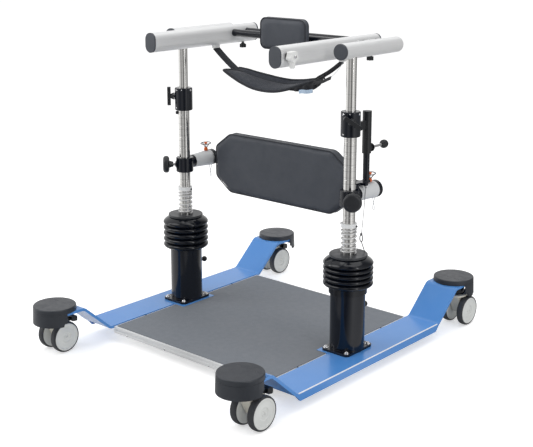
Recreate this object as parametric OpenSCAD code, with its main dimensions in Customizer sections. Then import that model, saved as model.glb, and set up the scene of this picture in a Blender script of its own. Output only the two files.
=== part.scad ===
// Standing frame for balance training: two sprung columns on a wheeled base carry a knee
// support, a pair of handrails, a chest pad and a pelvic sling. Millimetres, +Z up.
// +X is to the right of the person who stands in it and faces +Y. The origin is on the floor.

/* [Base] */
// Distance of a column outside its side rail's inner edge
column_inset = 16; // [12:1:20]
// Thickness of the rail's bent flat bar
rail_t = 9; // [6:0.5:11]
// Height of the rail's low top face
rail_low_z = 56; // [50:1:64]
// Height of the rail's raised top face
rail_high_z = 153; // [148:1:170]
// Half length of the rail's low stretch
rail_low_y = 376; // [360:1:390]
// Half length to the start of the raised stretch
rail_high_y = 486; // [470:1:500]
// Inside radius of the rail's bends
rail_bend_r = 18; // [8:1:30]
// Thickness of the lip along a rail's outer edge
rail_lip_t = 8; // [4:1:12]
// Half length of the platform
platform_y = 364; // [320:1:370]
// Height of the platform's aluminium tray
tray_h = 23; // [18:1:26]
// Thickness of the tray's top plate and edges
tray_wall = 5; // [3:0.5:10]
// How far the tray reaches under each rail
tray_tongue = 60; // [20:1:90]
// Thickness of the anti-slip mat
mat_t = 2; // [1:0.5:4]

/* [Casters] */
// Half distance between the middles of the front and rear caps
cap_y = 558; // [547:1:572]
// How far a cap stands outside the rail's middle
cap_out = 4; // [0:0.5:4.5]
// How far a swivel axis stands outside its cap's middle
caster_out = 22; // [14:1:24]
// How far a swivel axis stands nearer to the columns than its cap's middle
caster_in = 11; // [6:1:14]
// Wheel diameter
wheel_d = 104; // [94:1:105]
// Width over the twin wheels
caster_w = 89; // [84:1:94]
// Width of one wheel
wheel_w = 24; // [18:1:25]
// Radial height of the tyre
tyre_h = 6; // [4:0.5:12]
// Distance of the axle behind the swivel axis
trail = 17; // [14:1:24]
// Axle diameter
axle_d = 10; // [8:1:12]
// Swivel stem diameter
stem_d = 12; // [8:1:16]
// How deep the stem sits in the fork
stem_depth = 24; // [18:1:28]
// Gap between the caster's fork and each wheel
fork_gap = 1; // [0.5:0.5:3]
// Diameter of the fork's head ring
fork_head_d = 70; // [60:1:76]
// Thickness of the fork's head ring
fork_head_h = 7; // [6:0.5:8]
// Height of the swivel neck under the rail
neck_h = 31; // [28:0.5:32]
// Width of the brake pedal's tab
pedal_w = 30; // [20:1:34]
// Reach of the brake pedal from the swivel axis
pedal_reach = 86; // [82:1:88]
// Caster cap diameter at its lower edge
cap_d = 144; // [140:1:150]
// How much narrower the cap is at its top
cap_draft = 4; // [0:0.5:8]
// Height of the cap above the rail
cap_h = 17; // [10:1:24]
// Depth of the cap's skirt below the rail's top
cap_skirt = 41; // [24:1:42]
// Wall of the cap's skirt
cap_wall = 3; // [2:0.1:3.5]
// How far the cap's skirt reaches past its middle
cap_skirt_past = 11; // [6:1:14]
// Turn of the skirt's opening towards the frame's inner side
cap_turn = 12; // [0:1:18]
// Gap between a rail's round end and the cap's skirt
cap_gap = 6; // [5:0.5:8]

/* [Column base] */
// Column flange, across the rail
flange_x = 106; // [100:1:116]
// Column flange, along the rail
flange_y = 138; // [116:1:150]
// Flange thickness
flange_t = 8; // [5:0.5:14]
// Radius of the flange's corners
flange_corner = 14; // [4:1:30]
// How far the rail's tab shows past the flange
tab_margin = 9; // [2:1:16]
// Diameter of the lower housing tube
housing_d = 112; // [104:1:118]
// Wall of the housing tube
housing_wall = 5; // [3:0.5:8]
// Height of the housing tube's top
housing_top_z = 254; // [240:1:262]
// Height of the sway pivot
pivot_z = 315; // [306:1:321]
// Height of the lock plunger
plunger_z = 180; // [150:1:200]
// Diameter of the plunger's ball
plunger_ball_d = 20; // [14:1:28]
// Diameter of the plunger's shaft
plunger_d = 8; // [5:0.5:10]
// Bellows diameter over its ridges
bellows_d = 160; // [140:1:170]
// Bellows diameter in its valleys
bellows_valley_d = 143; // [134:1:146]
// Bellows ridges
bellows_ridges = 5; // [3:1:7]
// Rubber thickness
bellows_t = 2.5; // [1.5:0.1:3]

/* [Columns] */
// Column tube diameter
column_d = 40; // [38:0.5:42]
// Height of the column tube's top
column_top_z = 787; // [768:1:799]
// Spacing of the ring marks on the column
mark_step = 40; // [20:1:60]
// Spring plate diameter
plate_d = 122; // [100:1:130]
// Spring plate thickness
plate_t = 8; // [4:0.5:12]
// Height of the spring plate's top
plate_top_z = 373; // [367:1:380]
// Turns of the column's spring
spring_turns = 7; // [4:1:9]
// Spring wire diameter
spring_wire = 3; // [2:0.1:4]
// Spring collar diameter
collar_d = 50; // [46:1:58]
// Underside of the spring collar
collar_z = 459; // [446:1:462]
// Height of the spring collar
collar_h = 13; // [8:1:16]
// Mast tube diameter
mast_d = 33; // [28:0.5:34]
// Wall of the mast tube
mast_wall = 3; // [2:0.5:5]
// Height of the mast's lower end
mast_foot_z = 450; // [444:1:480]
// Mast clamp diameter
mast_clamp_d = 62; // [56:1:66]
// Underside of the mast clamp
mast_clamp_z = 748; // [740:1:754]
// Height of the mast clamp
mast_clamp_h = 79; // [64:1:90]
// Length of the mast clamp's T handle
handle_l = 66; // [50:1:84]

/* [Knee support] */
// Knee clamp diameter
knee_clamp_d = 61; // [54:1:64]
// Height of the middle of the knee clamp
knee_clamp_z = 553; // [546:1:559]
// Height of the knee clamp
knee_clamp_h = 52; // [44:1:56]
// Knee clamp knob diameter
knee_knob_d = 60; // [40:1:66]
// Height of the knee support's swivel axis
knee_z = 558; // [553:1:563]
// Diameter of the swivel stub
stub_d = 18; // [14:1:22]
// Swivel cone diameter at its small end
cone_d1 = 40; // [36:1:44]
// Swivel cone diameter at its large end
cone_d2 = 56; // [48:1:60]
// Where the swivel cone starts, ahead of the column
cone_y = 57; // [54:1:64]
// Length of the swivel cone
cone_l = 67; // [62:1:74]
// Knee pad width, which sets the columns' distance
knee_pad_w = 590; // [480:1:620]
// Distance of a column's middle from the knee pad's side
knee_side = 69; // [60:1:80]
// Knee pad height
knee_pad_h = 215; // [160:1:230]
// Knee pad thickness
knee_pad_t = 45; // [30:1:50]
// Knee pad corner cut, across
knee_cut_x = 67; // [30:1:90]
// Knee pad corner cut, up and down
knee_cut_z = 50; // [25:1:70]
// Guide sleeve diameter
guide_d = 29; // [26:0.5:32]
// Guide rod diameter
guide_rod_d = 21; // [14:0.5:22]
// Distance of the guide ahead of the column
guide_y = 86; // [82:1:92]

/* [Handrails] */
// Height of the rail swivels
swivel_z = 1012; // [1008:1:1018]
// Diameter of the rail swivels
swivel_d = 50; // [46:1:56]
// Shaft diameter inside a rail swivel
swivel_shaft_d = 38; // [30:1:40]
// Front end of the rail swivel sleeve
sleeve_y0 = -51; // [-66:1:-40]
// Rear end of the rail swivel sleeve
sleeve_y1 = 115; // [100:1:126]
// Rear end of the turning end piece
swivel_y1 = 246; // [240:1:280]
// Distance of a handrail from the columns' plane, towards the middle
handrail_in = 86; // [80:1:94]
// Height of the middle of a handrail
handrail_z = 1008; // [1004:1:1012]
// Handrail width
handrail_w = 44; // [36:1:46]
// Handrail height
handrail_h = 65; // [60:1:72]
// Wall of the handrail
handrail_wall = 3; // [2:0.5:5]
// Front end of a handrail
handrail_y0 = -240; // [-290:1:-225]
// Rear end of a handrail
handrail_y1 = 252; // [244:1:290]
// How far the left handrail is set back and the right one forward
handrail_shift = 13; // [0:1:15]
// Thickness of the end caps
end_cap_t = 6; // [3:0.5:10]
// Cross rod diameter
rod_d = 25; // [20:1:26]
// Where the cross rods lie
rod_ys = [146, 214];
// Height of the cross rods
rod_z = 1014; // [1012:1:1015]
// Chest pad width
chest_w = 200; // [160:1:230]
// Chest pad height
chest_h = 109; // [90:1:126]
// Chest pad thickness
chest_t = 32; // [24:1:34]
// Height of the middle of the chest pad
chest_z = 1028; // [1016:1:1034]
// Sling width
sling_w = 100; // [70:1:116]
// Sling thickness
sling_t = 15; // [8:1:18]
// Height of the sling's lowest line
sling_low_z = 871; // [860:1:890]

/* [Hidden] */
// Fits
running = 0.05;
soft_gap = 0.3;
part_gap = 0.5;
eps = 0.01;
$fn = 64;

SIDES = [-1, 1];
CORNERS = [["front_left", -1, -1], ["front_right", 1, -1], ["rear_left", -1, 1], ["rear_right", 1, 1]];

// Base places
column_x = knee_pad_w / 2 + knee_side;
rail_inner_x = column_x - column_inset;
rail_w = cap_d - cap_draft - 2 * (cap_wall + cap_gap);
rail_mid_x = rail_inner_x + rail_w / 2;
rail_under_z = rail_low_z - rail_t;
rail_slope = atan((rail_high_z - rail_low_z) / (rail_high_y - rail_low_y));
rail_lip_h = 17;
tray_x = rail_inner_x - part_gap;
tray_top_z = rail_low_z - 1 - mat_t;
tray_bottom_z = tray_top_z - tray_h;
tab_x = column_x - flange_x / 2 - tab_margin;
tab_y = flange_y / 2 + tab_margin;
tray_pockets = 4;
pocket_x = tab_x - 2 * tray_wall;
pocket_l = (2 * platform_y - (tray_pockets + 1) * tray_wall) / tray_pockets;
tongue_h = rail_under_z - tray_bottom_z;
tongue_y = platform_y - 30;
mat_inset = 8;

// Caster places, with the swivel axis at the local origin
cap_x = rail_mid_x + cap_out;
caster_x = cap_x + caster_out;
caster_y = cap_y - caster_in;
neck_z = rail_high_z - rail_t - neck_h;
fork_top_z = neck_z - part_gap;
neck_d = 46;
neck_flare = 8;
axle_z = wheel_d / 2;
wheel_out = caster_w / 2;
wheel_in = wheel_out - wheel_w;
fork_w = 2 * (wheel_in - fork_gap);
rim_r = wheel_d / 2 - tyre_h;
pedal_pivot = [38, fork_top_z - 21];
pedal_pin_d = 6;
pedal_lug_r = 8;
tongue_w = 10;
tongue_gap = 0.5;

// Column places
housing_base_z = rail_low_z + flange_t;
ear_t = 8;
ear_w = 28;
ear_gap = 4;
ring_r = housing_d / 2 - 2 - ear_t - ear_gap;
ring_wall = 11;
ring_h = 22;
trunnion_d = 12;
tail_d = 30;
tail_z = 150;
plug_top_z = pivot_z + 22;
plate_z = plate_top_z - plate_t;
column_bore_r = mast_d / 2 + running;
housing_hole_r = housing_d / 2 - 26;
plunger_y = housing_d / 2;
clamp_stud_r = 4;
clamp_axis_z = column_top_z + clamp_stud_r + 6;
handle_turns = [0, 57];
handle_widths = [16, 13];

// Spring, one unbroken helix between plate and collar; its straight steps clear the tube
spring_steps = 12;
spring_r = (column_d / 2 + part_gap) / cos(180 / spring_steps) + spring_wire / 2;
spring_z0 = plate_top_z + spring_wire / 2 + soft_gap;
spring_z1 = collar_z - spring_wire / 2 - soft_gap;

// Knee support places
knee_board_t = 6;
knee_board_y = cone_y + cone_l - 1;
knee_bar_t = 8;
knee_bar_h = 36;
knee_pad_z = knee_z + 4;
knee_stud_r = 5;
pin_y = cone_y + 0.75 * cone_l;
pin_d = 6;
pin_groove = 3;
guide_z0 = 682;
guide_z1 = 817;
guide_rod_top_z = 749;
guide_knob_z = guide_z0 + 15;
guide_stud_r = 4;
guide_knob_reach = 84;
arm_z = knee_z + cone_d2 / 2 + 1;
arm_t = 8;
arm_w = 20;
tether_r = 1;
tether_at = [26, 50];

// Places on the handrails
handrail_x = column_x - handrail_in;
rod_end_x = column_x - swivel_d / 2 + 8;
handrail_low_z = handrail_z - handrail_h / 2;
chest_back_y = rod_ys[0] - rod_d / 2 - 5;
thumb_r = 4;
lever_r = 6;
lever_y = handrail_y0 - handrail_shift + 27;
lever_z = handrail_z + 3;

// Sling, from one strap lug to the other
strap_y = [76, 69];
sling_mid_y = 57;
strap_lug_h = 10;
strap_w = 28;
strap_t = 3.5;
sling_top_z = handrail_low_z - strap_lug_h - soft_gap;
sling_tilt = 26;
sling_sag = 2.25;
band_end = 0.66;
sling_steps = 40;
sling_sides = 14;

// Shared shapes

// Extrudes a shape drawn in Y and Z, centred across X
module across_x(w) {
    rotate([90, 0, 90]) linear_extrude(w, center = true) children();
}

// Turns a shape about an axis along Y; the profile's second coordinate runs along +Y
module about_y() {
    rotate([-90, 0, 0]) children();
}

// Places a shape on the column's front outer diagonal, its local Z pointing outwards
module on_diagonal(side, z) {
    translate([side * column_x, 0, z])
        rotate([0, 0, side > 0 ? -45 : 225]) rotate([0, 90, 0]) children();
}

module at_column(side) {
    translate([side * column_x, 0, 0]) children();
}

module at_cap(corner) {
    translate([corner[1] * cap_x, corner[2] * cap_y, 0]) children();
}

module at_caster(corner) {
    translate([corner[1] * caster_x, corner[2] * caster_y, 0]) children();
}

module ring(r_out, r_in, h) {
    difference() {
        cylinder(r = r_out, h = h);
        translate([0, 0, -1]) cylinder(r = r_in, h = h + 2);
    }
}

module rounded_rect(x, y, r) {
    square([x - 2 * r, y], center = true);
    square([x, y - 2 * r], center = true);
    for (sx = SIDES, sy = SIDES) translate([sx * (x / 2 - r), sy * (y / 2 - r)]) circle(r);
}

// A flat oval standing on its short end
module flat_oval(w, h) {
    square([w, h - w], center = true);
    for (s = SIDES) translate([0, s * (h - w) / 2]) circle(d = w);
}

// A solid knob with rounded rims, turned about Z
module turned_knob(d, h, round) {
    rotate_extrude() union() {
        square([d / 2 - round, h]);
        translate([0, round]) square([d / 2, h - 2 * round]);
        for (z = [round, h - round]) translate([d / 2 - round, z]) circle(round);
    }
}

// A knob with lobes round its rim, along Z
module lobed_knob(d, h, lobes) {
    lobe_r = 0.16 * d;
    linear_extrude(h) {
        circle(d = 0.8 * d);
        for (i = [0 : lobes - 1]) rotate(360 * i / lobes) translate([d / 2 - lobe_r, 0]) circle(lobe_r);
    }
}

// Joins rings of points into one closed skin of triangles
function ring_faces(rings, n) = concat(
    [for (i = [0 : rings - 2], j = [0 : n - 1]) [i * n + j, i * n + (j + 1) % n, (i + 1) * n + j]],
    [for (i = [0 : rings - 2], j = [0 : n - 1])
        [i * n + (j + 1) % n, (i + 1) * n + (j + 1) % n, (i + 1) * n + j]]);

// The two fans that close such a skin, round the middle of its first and last ring
function fan_faces(rings, n) = concat(
    [for (j = [0 : n - 1]) [rings * n, (j + 1) % n, j]],
    [for (j = [0 : n - 1]) [rings * n + 1, (rings - 1) * n + j, (rings - 1) * n + (j + 1) % n]]);

function middle(points) = [for (k = [0 : 2]) let (v = [for (p = points) p[k]]) sum(v) / len(v)];
function sum(v, i = 0) = i < len(v) ? v[i] + sum(v, i + 1) : 0;

module skin(rings) {
    n = len(rings[0]);
    points = concat([for (r = rings) each r], [middle(rings[0]), middle(rings[len(rings) - 1])]);
    polyhedron(points, concat(ring_faces(len(rings), n), fan_faces(len(rings), n)), convexity = 6);
}

// Side rails

// Points of a bend, for a turn between two angles about a centre
function bend(centre, r, a0, a1, steps = 4) = [for (i = [0 : steps])
    let (a = a0 + (a1 - a0) * i / steps) centre + r * [sin(a), -cos(a)]];

function rail_half() = let (
    outer_r = rail_bend_r + rail_t,
    low = [rail_low_y - rail_bend_r * tan(rail_slope / 2), rail_low_z + rail_bend_r],
    high = [rail_high_y + outer_r * tan(rail_slope / 2), rail_high_z - outer_r],
    end_y = cap_y + rail_w)
    concat(
        [[-eps, rail_low_z]],
        bend(low, rail_bend_r, 0, rail_slope),
        [for (p = bend([0, 0], outer_r, rail_slope, 0)) high - p],
        [[end_y, rail_high_z], [end_y, rail_high_z - rail_t]],
        [for (p = bend([0, 0], rail_bend_r, 0, rail_slope)) high - p],
        bend(low, outer_r, rail_slope, 0),
        [[-eps, rail_under_z]]);

module rail_plan() {
    square([rail_w, 2 * cap_y], center = true);
    for (s = SIDES) translate([0, s * cap_y]) circle(d = rail_w);
}

module side_rail() {
    lip_y = [rail_low_y - 14, rail_low_y + 6];
    lip_z = [rail_under_z - rail_lip_h, rail_under_z + rail_t / 2];
    intersection() {
        union() for (s = [0, 1]) mirror([0, s, 0]) translate([rail_mid_x, 0, 0])
            across_x(rail_w) polygon(rail_half());
        translate([rail_mid_x, 0, 0]) linear_extrude(rail_high_z + 10) rail_plan();
    }
    translate([rail_inner_x + rail_w - rail_lip_t / 2, 0, 0]) across_x(rail_lip_t)
        polygon([[-lip_y[0], lip_z[0]], [lip_y[0], lip_z[0]], [lip_y[1], lip_z[1]], [-lip_y[1], lip_z[1]]]);
    translate([tab_x, -tab_y, rail_under_z]) cube([rail_inner_x - tab_x + 1, 2 * tab_y, rail_t]);
}

module side_rails() {
    color("steelblue") for (s = [0, 1]) mirror([s, 0, 0]) side_rail();
}

// Platform

module tab_notches(h) {
    for (s = SIDES) translate([s * (tray_x + tab_x - part_gap) / 2, 0, 0])
        linear_extrude(h, center = true)
            square([tray_x - tab_x + 3 * part_gap, 2 * (tab_y + part_gap)], center = true);
}

module platform_tray() {
    groove = [2 * tray_x + 2, tray_wall, tray_h / 5];
    color("gainsboro") {
        difference() {
            translate([-tray_x, -platform_y, tray_bottom_z]) cube([2 * tray_x, 2 * platform_y, tray_h]);
            for (s = SIDES) translate([0, s * platform_y, tray_bottom_z + tray_h * 0.55])
                cube(groove, center = true);
            for (i = [0 : tray_pockets - 1])
                translate([-pocket_x, tray_wall - platform_y + i * (pocket_l + tray_wall), tray_bottom_z - 1])
                    cube([2 * pocket_x, pocket_l, tray_h - tray_wall + 1]);
            translate([0, 0, rail_low_z]) tab_notches(2 * rail_t);
        }
        for (s = SIDES)
            translate([s * (tray_x + tray_tongue / 2 - tray_wall), 0, rail_under_z - tongue_h / 2])
                cube([tray_tongue, 2 * tongue_y, tongue_h], center = true);
    }
}

module platform_mat() {
    color("dimgray") translate([0, 0, tray_top_z]) difference() {
        linear_extrude(mat_t)
            square([2 * (tray_x - mat_inset), 2 * (platform_y - mat_inset)], center = true);
        tab_notches(3 * mat_t);
    }
}

// Casters

module cap(side, end) {
    r = cap_d / 2;
    top_r = r - cap_draft / 2;
    z0 = rail_high_z - cap_skirt;
    top = rail_high_z + cap_h;
    round = 4;
    arch_r = 14;
    seam = 1;
    seam_z = rail_high_z + 1;
    seam_r = r - cap_draft / 2 * (seam_z - z0) / (top - round - z0) - seam;
    crease_y = cap_skirt_past + 16;
    rotate([0, 0, end < 0 ? 0 : 180]) difference() {
        rotate_extrude() difference() {
            union() {
                polygon([[0, z0], [r, z0], [top_r, top - round], [0, top - round]]);
                translate([0, z0]) square([top_r - round, top - z0]);
                translate([top_r - round, top - round]) circle(round);
            }
            translate([0, z0 - 1]) square([top_r - cap_wall, cap_skirt + 1]);
            translate([seam_r, seam_z]) square([cap_draft + 2 * seam, seam]);
            translate([-cap_d, 0]) square([cap_d, 2 * top]);
        }
        rotate([0, 0, -cap_turn * side * end]) {
            translate([-r - 1, cap_skirt_past, z0 - 1]) cube([2 * r + 2, r + 1, cap_skirt + 1]);
            across_x(2 * r + 2) translate([cap_skirt_past, z0]) circle(arch_r);
        }
        translate([-r, crease_y, top - seam / 2]) cube([2 * r, seam, seam]);
    }
}

module caster_caps() {
    color([0.24, 0.25, 0.26]) for (c = CORNERS) at_cap(c) cap(c[1], c[2]);
}

module caster_stems() {
    color("silver") for (c = CORNERS) at_caster(c) {
        translate([0, 0, neck_z]) cylinder(d1 = neck_d, d2 = neck_d + neck_flare, h = neck_h);
        translate([0, 0, fork_top_z - stem_depth]) cylinder(d = stem_d, h = stem_depth + neck_h);
    }
}

module fork_outline() {
    head_z = fork_top_z - fork_head_h + 2;
    boss_r = axle_d / 2 + 9;
    front_y = -0.37 * fork_head_d;
    polygon([[front_y, head_z], [-front_y, head_z], [trail + boss_r * 0.97, axle_z + 4],
             [trail - boss_r * 0.9, axle_z - 6]]);
    translate([trail, axle_z]) circle(boss_r);
    translate(pedal_pivot) circle(pedal_lug_r);
    polygon([pedal_pivot + [2, pedal_lug_r], pedal_pivot + [-24, pedal_lug_r + 6],
             pedal_pivot + [-24, -20], pedal_pivot + [2, -pedal_lug_r]]);
}

module fork() {
    slot_r = pedal_lug_r + 12;
    color("lightgray") difference() {
        union() {
            translate([0, 0, fork_top_z - fork_head_h]) turned_knob(fork_head_d, fork_head_h, 3);
            across_x(fork_w) fork_outline();
        }
        translate([0, 0, fork_top_z - stem_depth - 1])
            cylinder(r = stem_d / 2 + running, h = stem_depth + 2);
        translate([0, trail, axle_z]) rotate([0, 90, 0])
            cylinder(r = axle_d / 2 + running, h = 2 * fork_w, center = true);
        across_x(tongue_w + 2 * tongue_gap) translate(pedal_pivot) {
            circle(pedal_lug_r + 2);
            translate([0, -slot_r / 2]) square([slot_r, 2 * slot_r]);
        }
        translate([0, pedal_pivot[0], pedal_pivot[1]]) rotate([0, 90, 0])
            cylinder(r = pedal_pin_d / 2 + running, h = 2 * fork_w, center = true);
    }
}

module pedal() {
    p = pedal_pivot;
    tip = pedal_reach - p[0];
    color([0.1, 0.1, 0.11]) {
        across_x(tongue_w) translate(p) {
            circle(pedal_lug_r);
            polygon([[0, pedal_lug_r], [tip * 0.6, 11], [tip * 0.6, -4], [0, -pedal_lug_r + 1]]);
        }
        translate([0, p[0], p[1]]) rotate([0, 90, 0])
            cylinder(d = pedal_pin_d, h = fork_w, center = true);
        across_x(pedal_w) translate(p)
            polygon([[tip * 0.52, 10], [tip * 0.6, 13], [tip * 0.85, 13], [tip, 9],
                     [tip, -5], [tip * 0.92, -8], [tip * 0.6, -6], [tip * 0.52, 0]]);
    }
}

module rim() {
    lip = 4;
    dish = 2.5;
    hub_r = axle_d / 2 + 12;
    rotate_extrude() polygon([[0, wheel_in], [rim_r, wheel_in], [rim_r, wheel_out - 0.5],
        [rim_r - lip, wheel_out - 0.5], [rim_r - lip - dish, wheel_out - dish / 2 - 0.5],
        [hub_r + dish, wheel_out - dish - 0.5], [hub_r, wheel_out - 1], [0, wheel_out - 1]]);
}

module tyre() {
    round = 2.5;
    rotate_extrude() translate([rim_r + 2 * running, wheel_in]) {
        square([tyre_h - 2 * running - round, wheel_w]);
        translate([0, round]) square([tyre_h - 2 * running, wheel_w - 2 * round]);
        for (z = [round, wheel_w - round]) translate([tyre_h - 2 * running - round, z]) circle(round);
    }
}

module wheels() {
    translate([0, trail, axle_z]) rotate([0, 90, 0]) {
        color("gainsboro") {
            cylinder(d = axle_d, h = 2 * wheel_in + 2, center = true);
            for (s = [0, 1]) mirror([0, 0, s]) rim();
        }
        color([0.24, 0.25, 0.27]) for (s = [0, 1]) mirror([0, 0, s]) tyre();
    }
}

// Column bases with the sway pivots

module column_base() {
    r = housing_d / 2;
    ear_x = ring_r + ear_gap;
    difference() {
        union() {
            translate([0, 0, rail_low_z]) linear_extrude(flange_t)
                rounded_rect(flange_x, flange_y, flange_corner);
            translate([0, 0, housing_base_z - eps])
                ring(r, r - housing_wall, housing_top_z - housing_base_z + eps);
            translate([0, 0, housing_top_z - 8]) ring(r - 1, housing_hole_r, 8);
            for (s = SIDES) translate([s * (ear_x + ear_t / 2), 0, 0]) across_x(ear_t) {
                translate([0, pivot_z]) circle(d = ear_w);
                translate([-ear_w / 2, housing_top_z - 4])
                    square([ear_w, pivot_z - housing_top_z + 4]);
            }
            translate([0, plunger_y - housing_wall, plunger_z]) about_y() cylinder(d = 20, h = 14);
        }
        translate([0, 0, pivot_z]) rotate([0, 90, 0])
            cylinder(r = trunnion_d / 2 + running, h = 2 * housing_d, center = true);
        translate([0, plunger_y - 3 * housing_wall, plunger_z]) about_y()
            cylinder(r = plunger_d / 2 + running, h = 14 + 4 * housing_wall);
    }
}

module column_bases() {
    color([0.06, 0.06, 0.065]) for (s = SIDES) at_column(s) column_base();
}

// Half a ridge after another: the bellows' wall as a line of radius and height
function bellows_z(i) = let (z0 = housing_top_z + 3, z1 = plate_z - 8)
    z0 + (z1 - z0) * i / (2 * bellows_ridges);
function bellows_line(grow) = let (n = bellows_ridges) concat(
    [[housing_d / 2 + soft_gap + grow, housing_top_z - 8]],
    [[housing_d / 2 + soft_gap + grow, housing_top_z - 1]],
    [for (i = [1 : 2 * n - 1], k = [-0.35, 0, 0.35])
        let (mid = (bellows_valley_d + bellows_d) / 4, amp = (bellows_d - bellows_valley_d) / 4)
        [mid - amp * cos(180 * i) * (1 - k * k) - bellows_t + grow, bellows_z(i + k)]],
    [for (z = [4, soft_gap]) [plate_d / 2 - 4 - bellows_t + grow, plate_z - z]]);

module bellows() {
    inner = bellows_line(0);
    outer = bellows_line(bellows_t);
    color([0.1, 0.1, 0.1]) for (s = SIDES) at_column(s) rotate_extrude()
        polygon(concat(inner, [for (i = [len(outer) - 1 : -1 : 0]) outer[i]]));
}

module gimbal() {
    pin_in = column_d / 2 - 9;
    pin_out = ring_r + ear_gap + ear_t;
    translate([0, 0, pivot_z]) {
        translate([0, 0, -ring_h / 2]) ring(ring_r, ring_r - ring_wall, ring_h);
        for (s = [0, 180]) rotate([0, 0, s]) {
            rotate([0, 90, 0]) translate([0, 0, ring_r - ring_wall / 2])
                cylinder(d = trunnion_d, h = pin_out - ring_r + ring_wall / 2);
            rotate([-90, 0, 0]) translate([0, 0, pin_in])
                cylinder(d = trunnion_d, h = ring_r - ring_wall / 2 - pin_in);
        }
    }
}

module gimbals() {
    color("silver") for (s = SIDES) at_column(s) gimbal();
}

// Columns, with the local origin on the floor under the column

module column_tube() {
    r = column_d / 2;
    flange_r = r + 7;
    flange_h = 8;
    mark_w = 1;
    mark_depth = 0.4;
    color("silver") difference() {
        union() {
            translate([0, 0, tail_z]) cylinder(d = tail_d, h = pivot_z - tail_z);
            translate([0, 0, pivot_z - trunnion_d])
                cylinder(r = r, h = column_top_z - pivot_z + trunnion_d);
            translate([0, 0, plate_z - flange_h]) cylinder(r = flange_r, h = flange_h);
        }
        translate([0, 0, plug_top_z]) cylinder(r = column_bore_r, h = column_top_z);
        translate([0, 0, pivot_z]) rotate([90, 0, 0])
            cylinder(r = trunnion_d / 2 + running, h = 2 * column_d, center = true);
        for (z = [collar_z + collar_h + mark_step / 2 : mark_step : mast_clamp_z - mark_w])
            translate([0, 0, z]) ring(r + 1, r - mark_depth, mark_w);
    }
}

module spring_plate() {
    round = 2;
    color([0.2, 0.2, 0.21]) translate([0, 0, plate_z]) difference() {
        turned_knob(plate_d, plate_t, round);
        translate([0, 0, -1]) cylinder(r = column_d / 2 + running, h = plate_t + 2);
    }
}

// Points along the spring's middle line
function spring_point(i) = let (a = 360 * i / spring_steps)
    [spring_r * cos(a), spring_r * sin(a),
     spring_z0 + (spring_z1 - spring_z0) * i / (spring_steps * spring_turns)];
function spring_ring(i) = let (
    a = 360 * i / spring_steps,
    out = [cos(a), sin(a), 0],
    along = [-sin(a), cos(a), (spring_z1 - spring_z0) / spring_turns / (2 * PI * spring_r)],
    up = cross(along / norm(along), out))
    [for (k = [0 : 5]) spring_point(i) + spring_wire / 2 * (cos(60 * k) * out + sin(60 * k) * up)];

spring_last = spring_steps * spring_turns;
spring_gap = min([for (i = [0 : spring_last], j = [i + spring_steps / 2 : spring_last])
    norm(spring_point(i) - spring_point(j)) - spring_wire]);
echo(str("least gap between the spring's turns: ", spring_gap, " mm"));

module spring() {
    color("silver") skin([for (i = [0 : spring_last]) spring_ring(i)]);
}

module spring_collar() {
    screw_d = 7;
    screw_out = 4;
    color("gainsboro") translate([0, 0, collar_z]) difference() {
        union() {
            cylinder(d = collar_d, h = collar_h);
            translate([0, 0, collar_h / 2]) rotate([0, 90, 0])
                cylinder(d = screw_d, h = collar_d + 2 * screw_out, center = true);
        }
        translate([0, 0, -1]) cylinder(r = column_d / 2 + running, h = collar_h + 2);
    }
}

// The boss on a clamp that its clamping stud screws into
module clamp_boss(side, z, clamp_d) {
    boss_r = 12;
    boss_h = 8;
    sunk = 6;
    on_diagonal(side, z) translate([0, 0, clamp_d / 2 - sunk]) cylinder(r = boss_r, h = boss_h);
}

module mast_clamp(side) {
    round = 3;
    color([0.07, 0.07, 0.075]) difference() {
        union() {
            at_column(side) translate([0, 0, mast_clamp_z]) turned_knob(mast_clamp_d, mast_clamp_h, round);
            clamp_boss(side, clamp_axis_z, mast_clamp_d);
        }
        at_column(side) translate([0, 0, mast_clamp_z - 1])
            cylinder(r = column_d / 2 + running, h = column_top_z - mast_clamp_z + 1);
        at_column(side) cylinder(r = column_bore_r, h = 2 * mast_clamp_z);
        on_diagonal(side, clamp_axis_z) cylinder(r = clamp_stud_r + running, h = mast_clamp_d);
    }
}

module mast_handle(side, turn, bar_w) {
    stud_z = mast_d / 2 + 1;
    hub_z = mast_clamp_d / 2 + 3;
    hub_h = 12;
    hub_d = 26;
    bar_t = 12;
    color([0.07, 0.07, 0.075]) on_diagonal(side, clamp_axis_z) rotate([0, 0, turn]) {
        translate([0, 0, stud_z]) cylinder(r = clamp_stud_r, h = hub_z - stud_z + 1);
        translate([0, 0, hub_z]) cylinder(d1 = hub_d, d2 = bar_w - 1, h = hub_h);
        translate([0, 0, hub_z + hub_h - 1]) linear_extrude(bar_t)
            rotate(90) flat_oval(bar_w, handle_l);
    }
}

module mast() {
    color("silver") difference() {
        translate([0, 0, mast_foot_z]) ring(mast_d / 2, mast_d / 2 - mast_wall, swivel_z - mast_foot_z);
        translate([0, 0, swivel_z]) rotate([90, 0, 0])
            cylinder(r = swivel_d / 2 + running, h = 2 * swivel_d, center = true);
    }
}

module swivel_sleeve() {
    color("gainsboro") translate([0, sleeve_y0, swivel_z]) about_y()
        ring(swivel_d / 2, swivel_shaft_d / 2 + running, sleeve_y1 - sleeve_y0);
}

// Bridge: what joins the two sides at the top

module swivel_ends() {
    y0 = sleeve_y1 + part_gap;
    r = swivel_d / 2;
    round = 10;
    color("gainsboro") for (s = SIDES) difference() {
        translate([s * column_x, 0, swivel_z]) about_y() {
            translate([0, 0, sleeve_y0]) cylinder(d = swivel_shaft_d, h = y0 - sleeve_y0 + 1);
            translate([0, 0, y0]) cylinder(r = r, h = swivel_y1 - y0 - round);
            translate([0, 0, swivel_y1 - 3 * round]) turned_knob(swivel_d, 3 * round, round);
        }
        for (y = rod_ys) translate([0, y, rod_z]) rotate([0, 90, 0])
            cylinder(r = rod_d / 2 + running, h = 2 * rod_end_x, center = true);
    }
}

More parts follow.
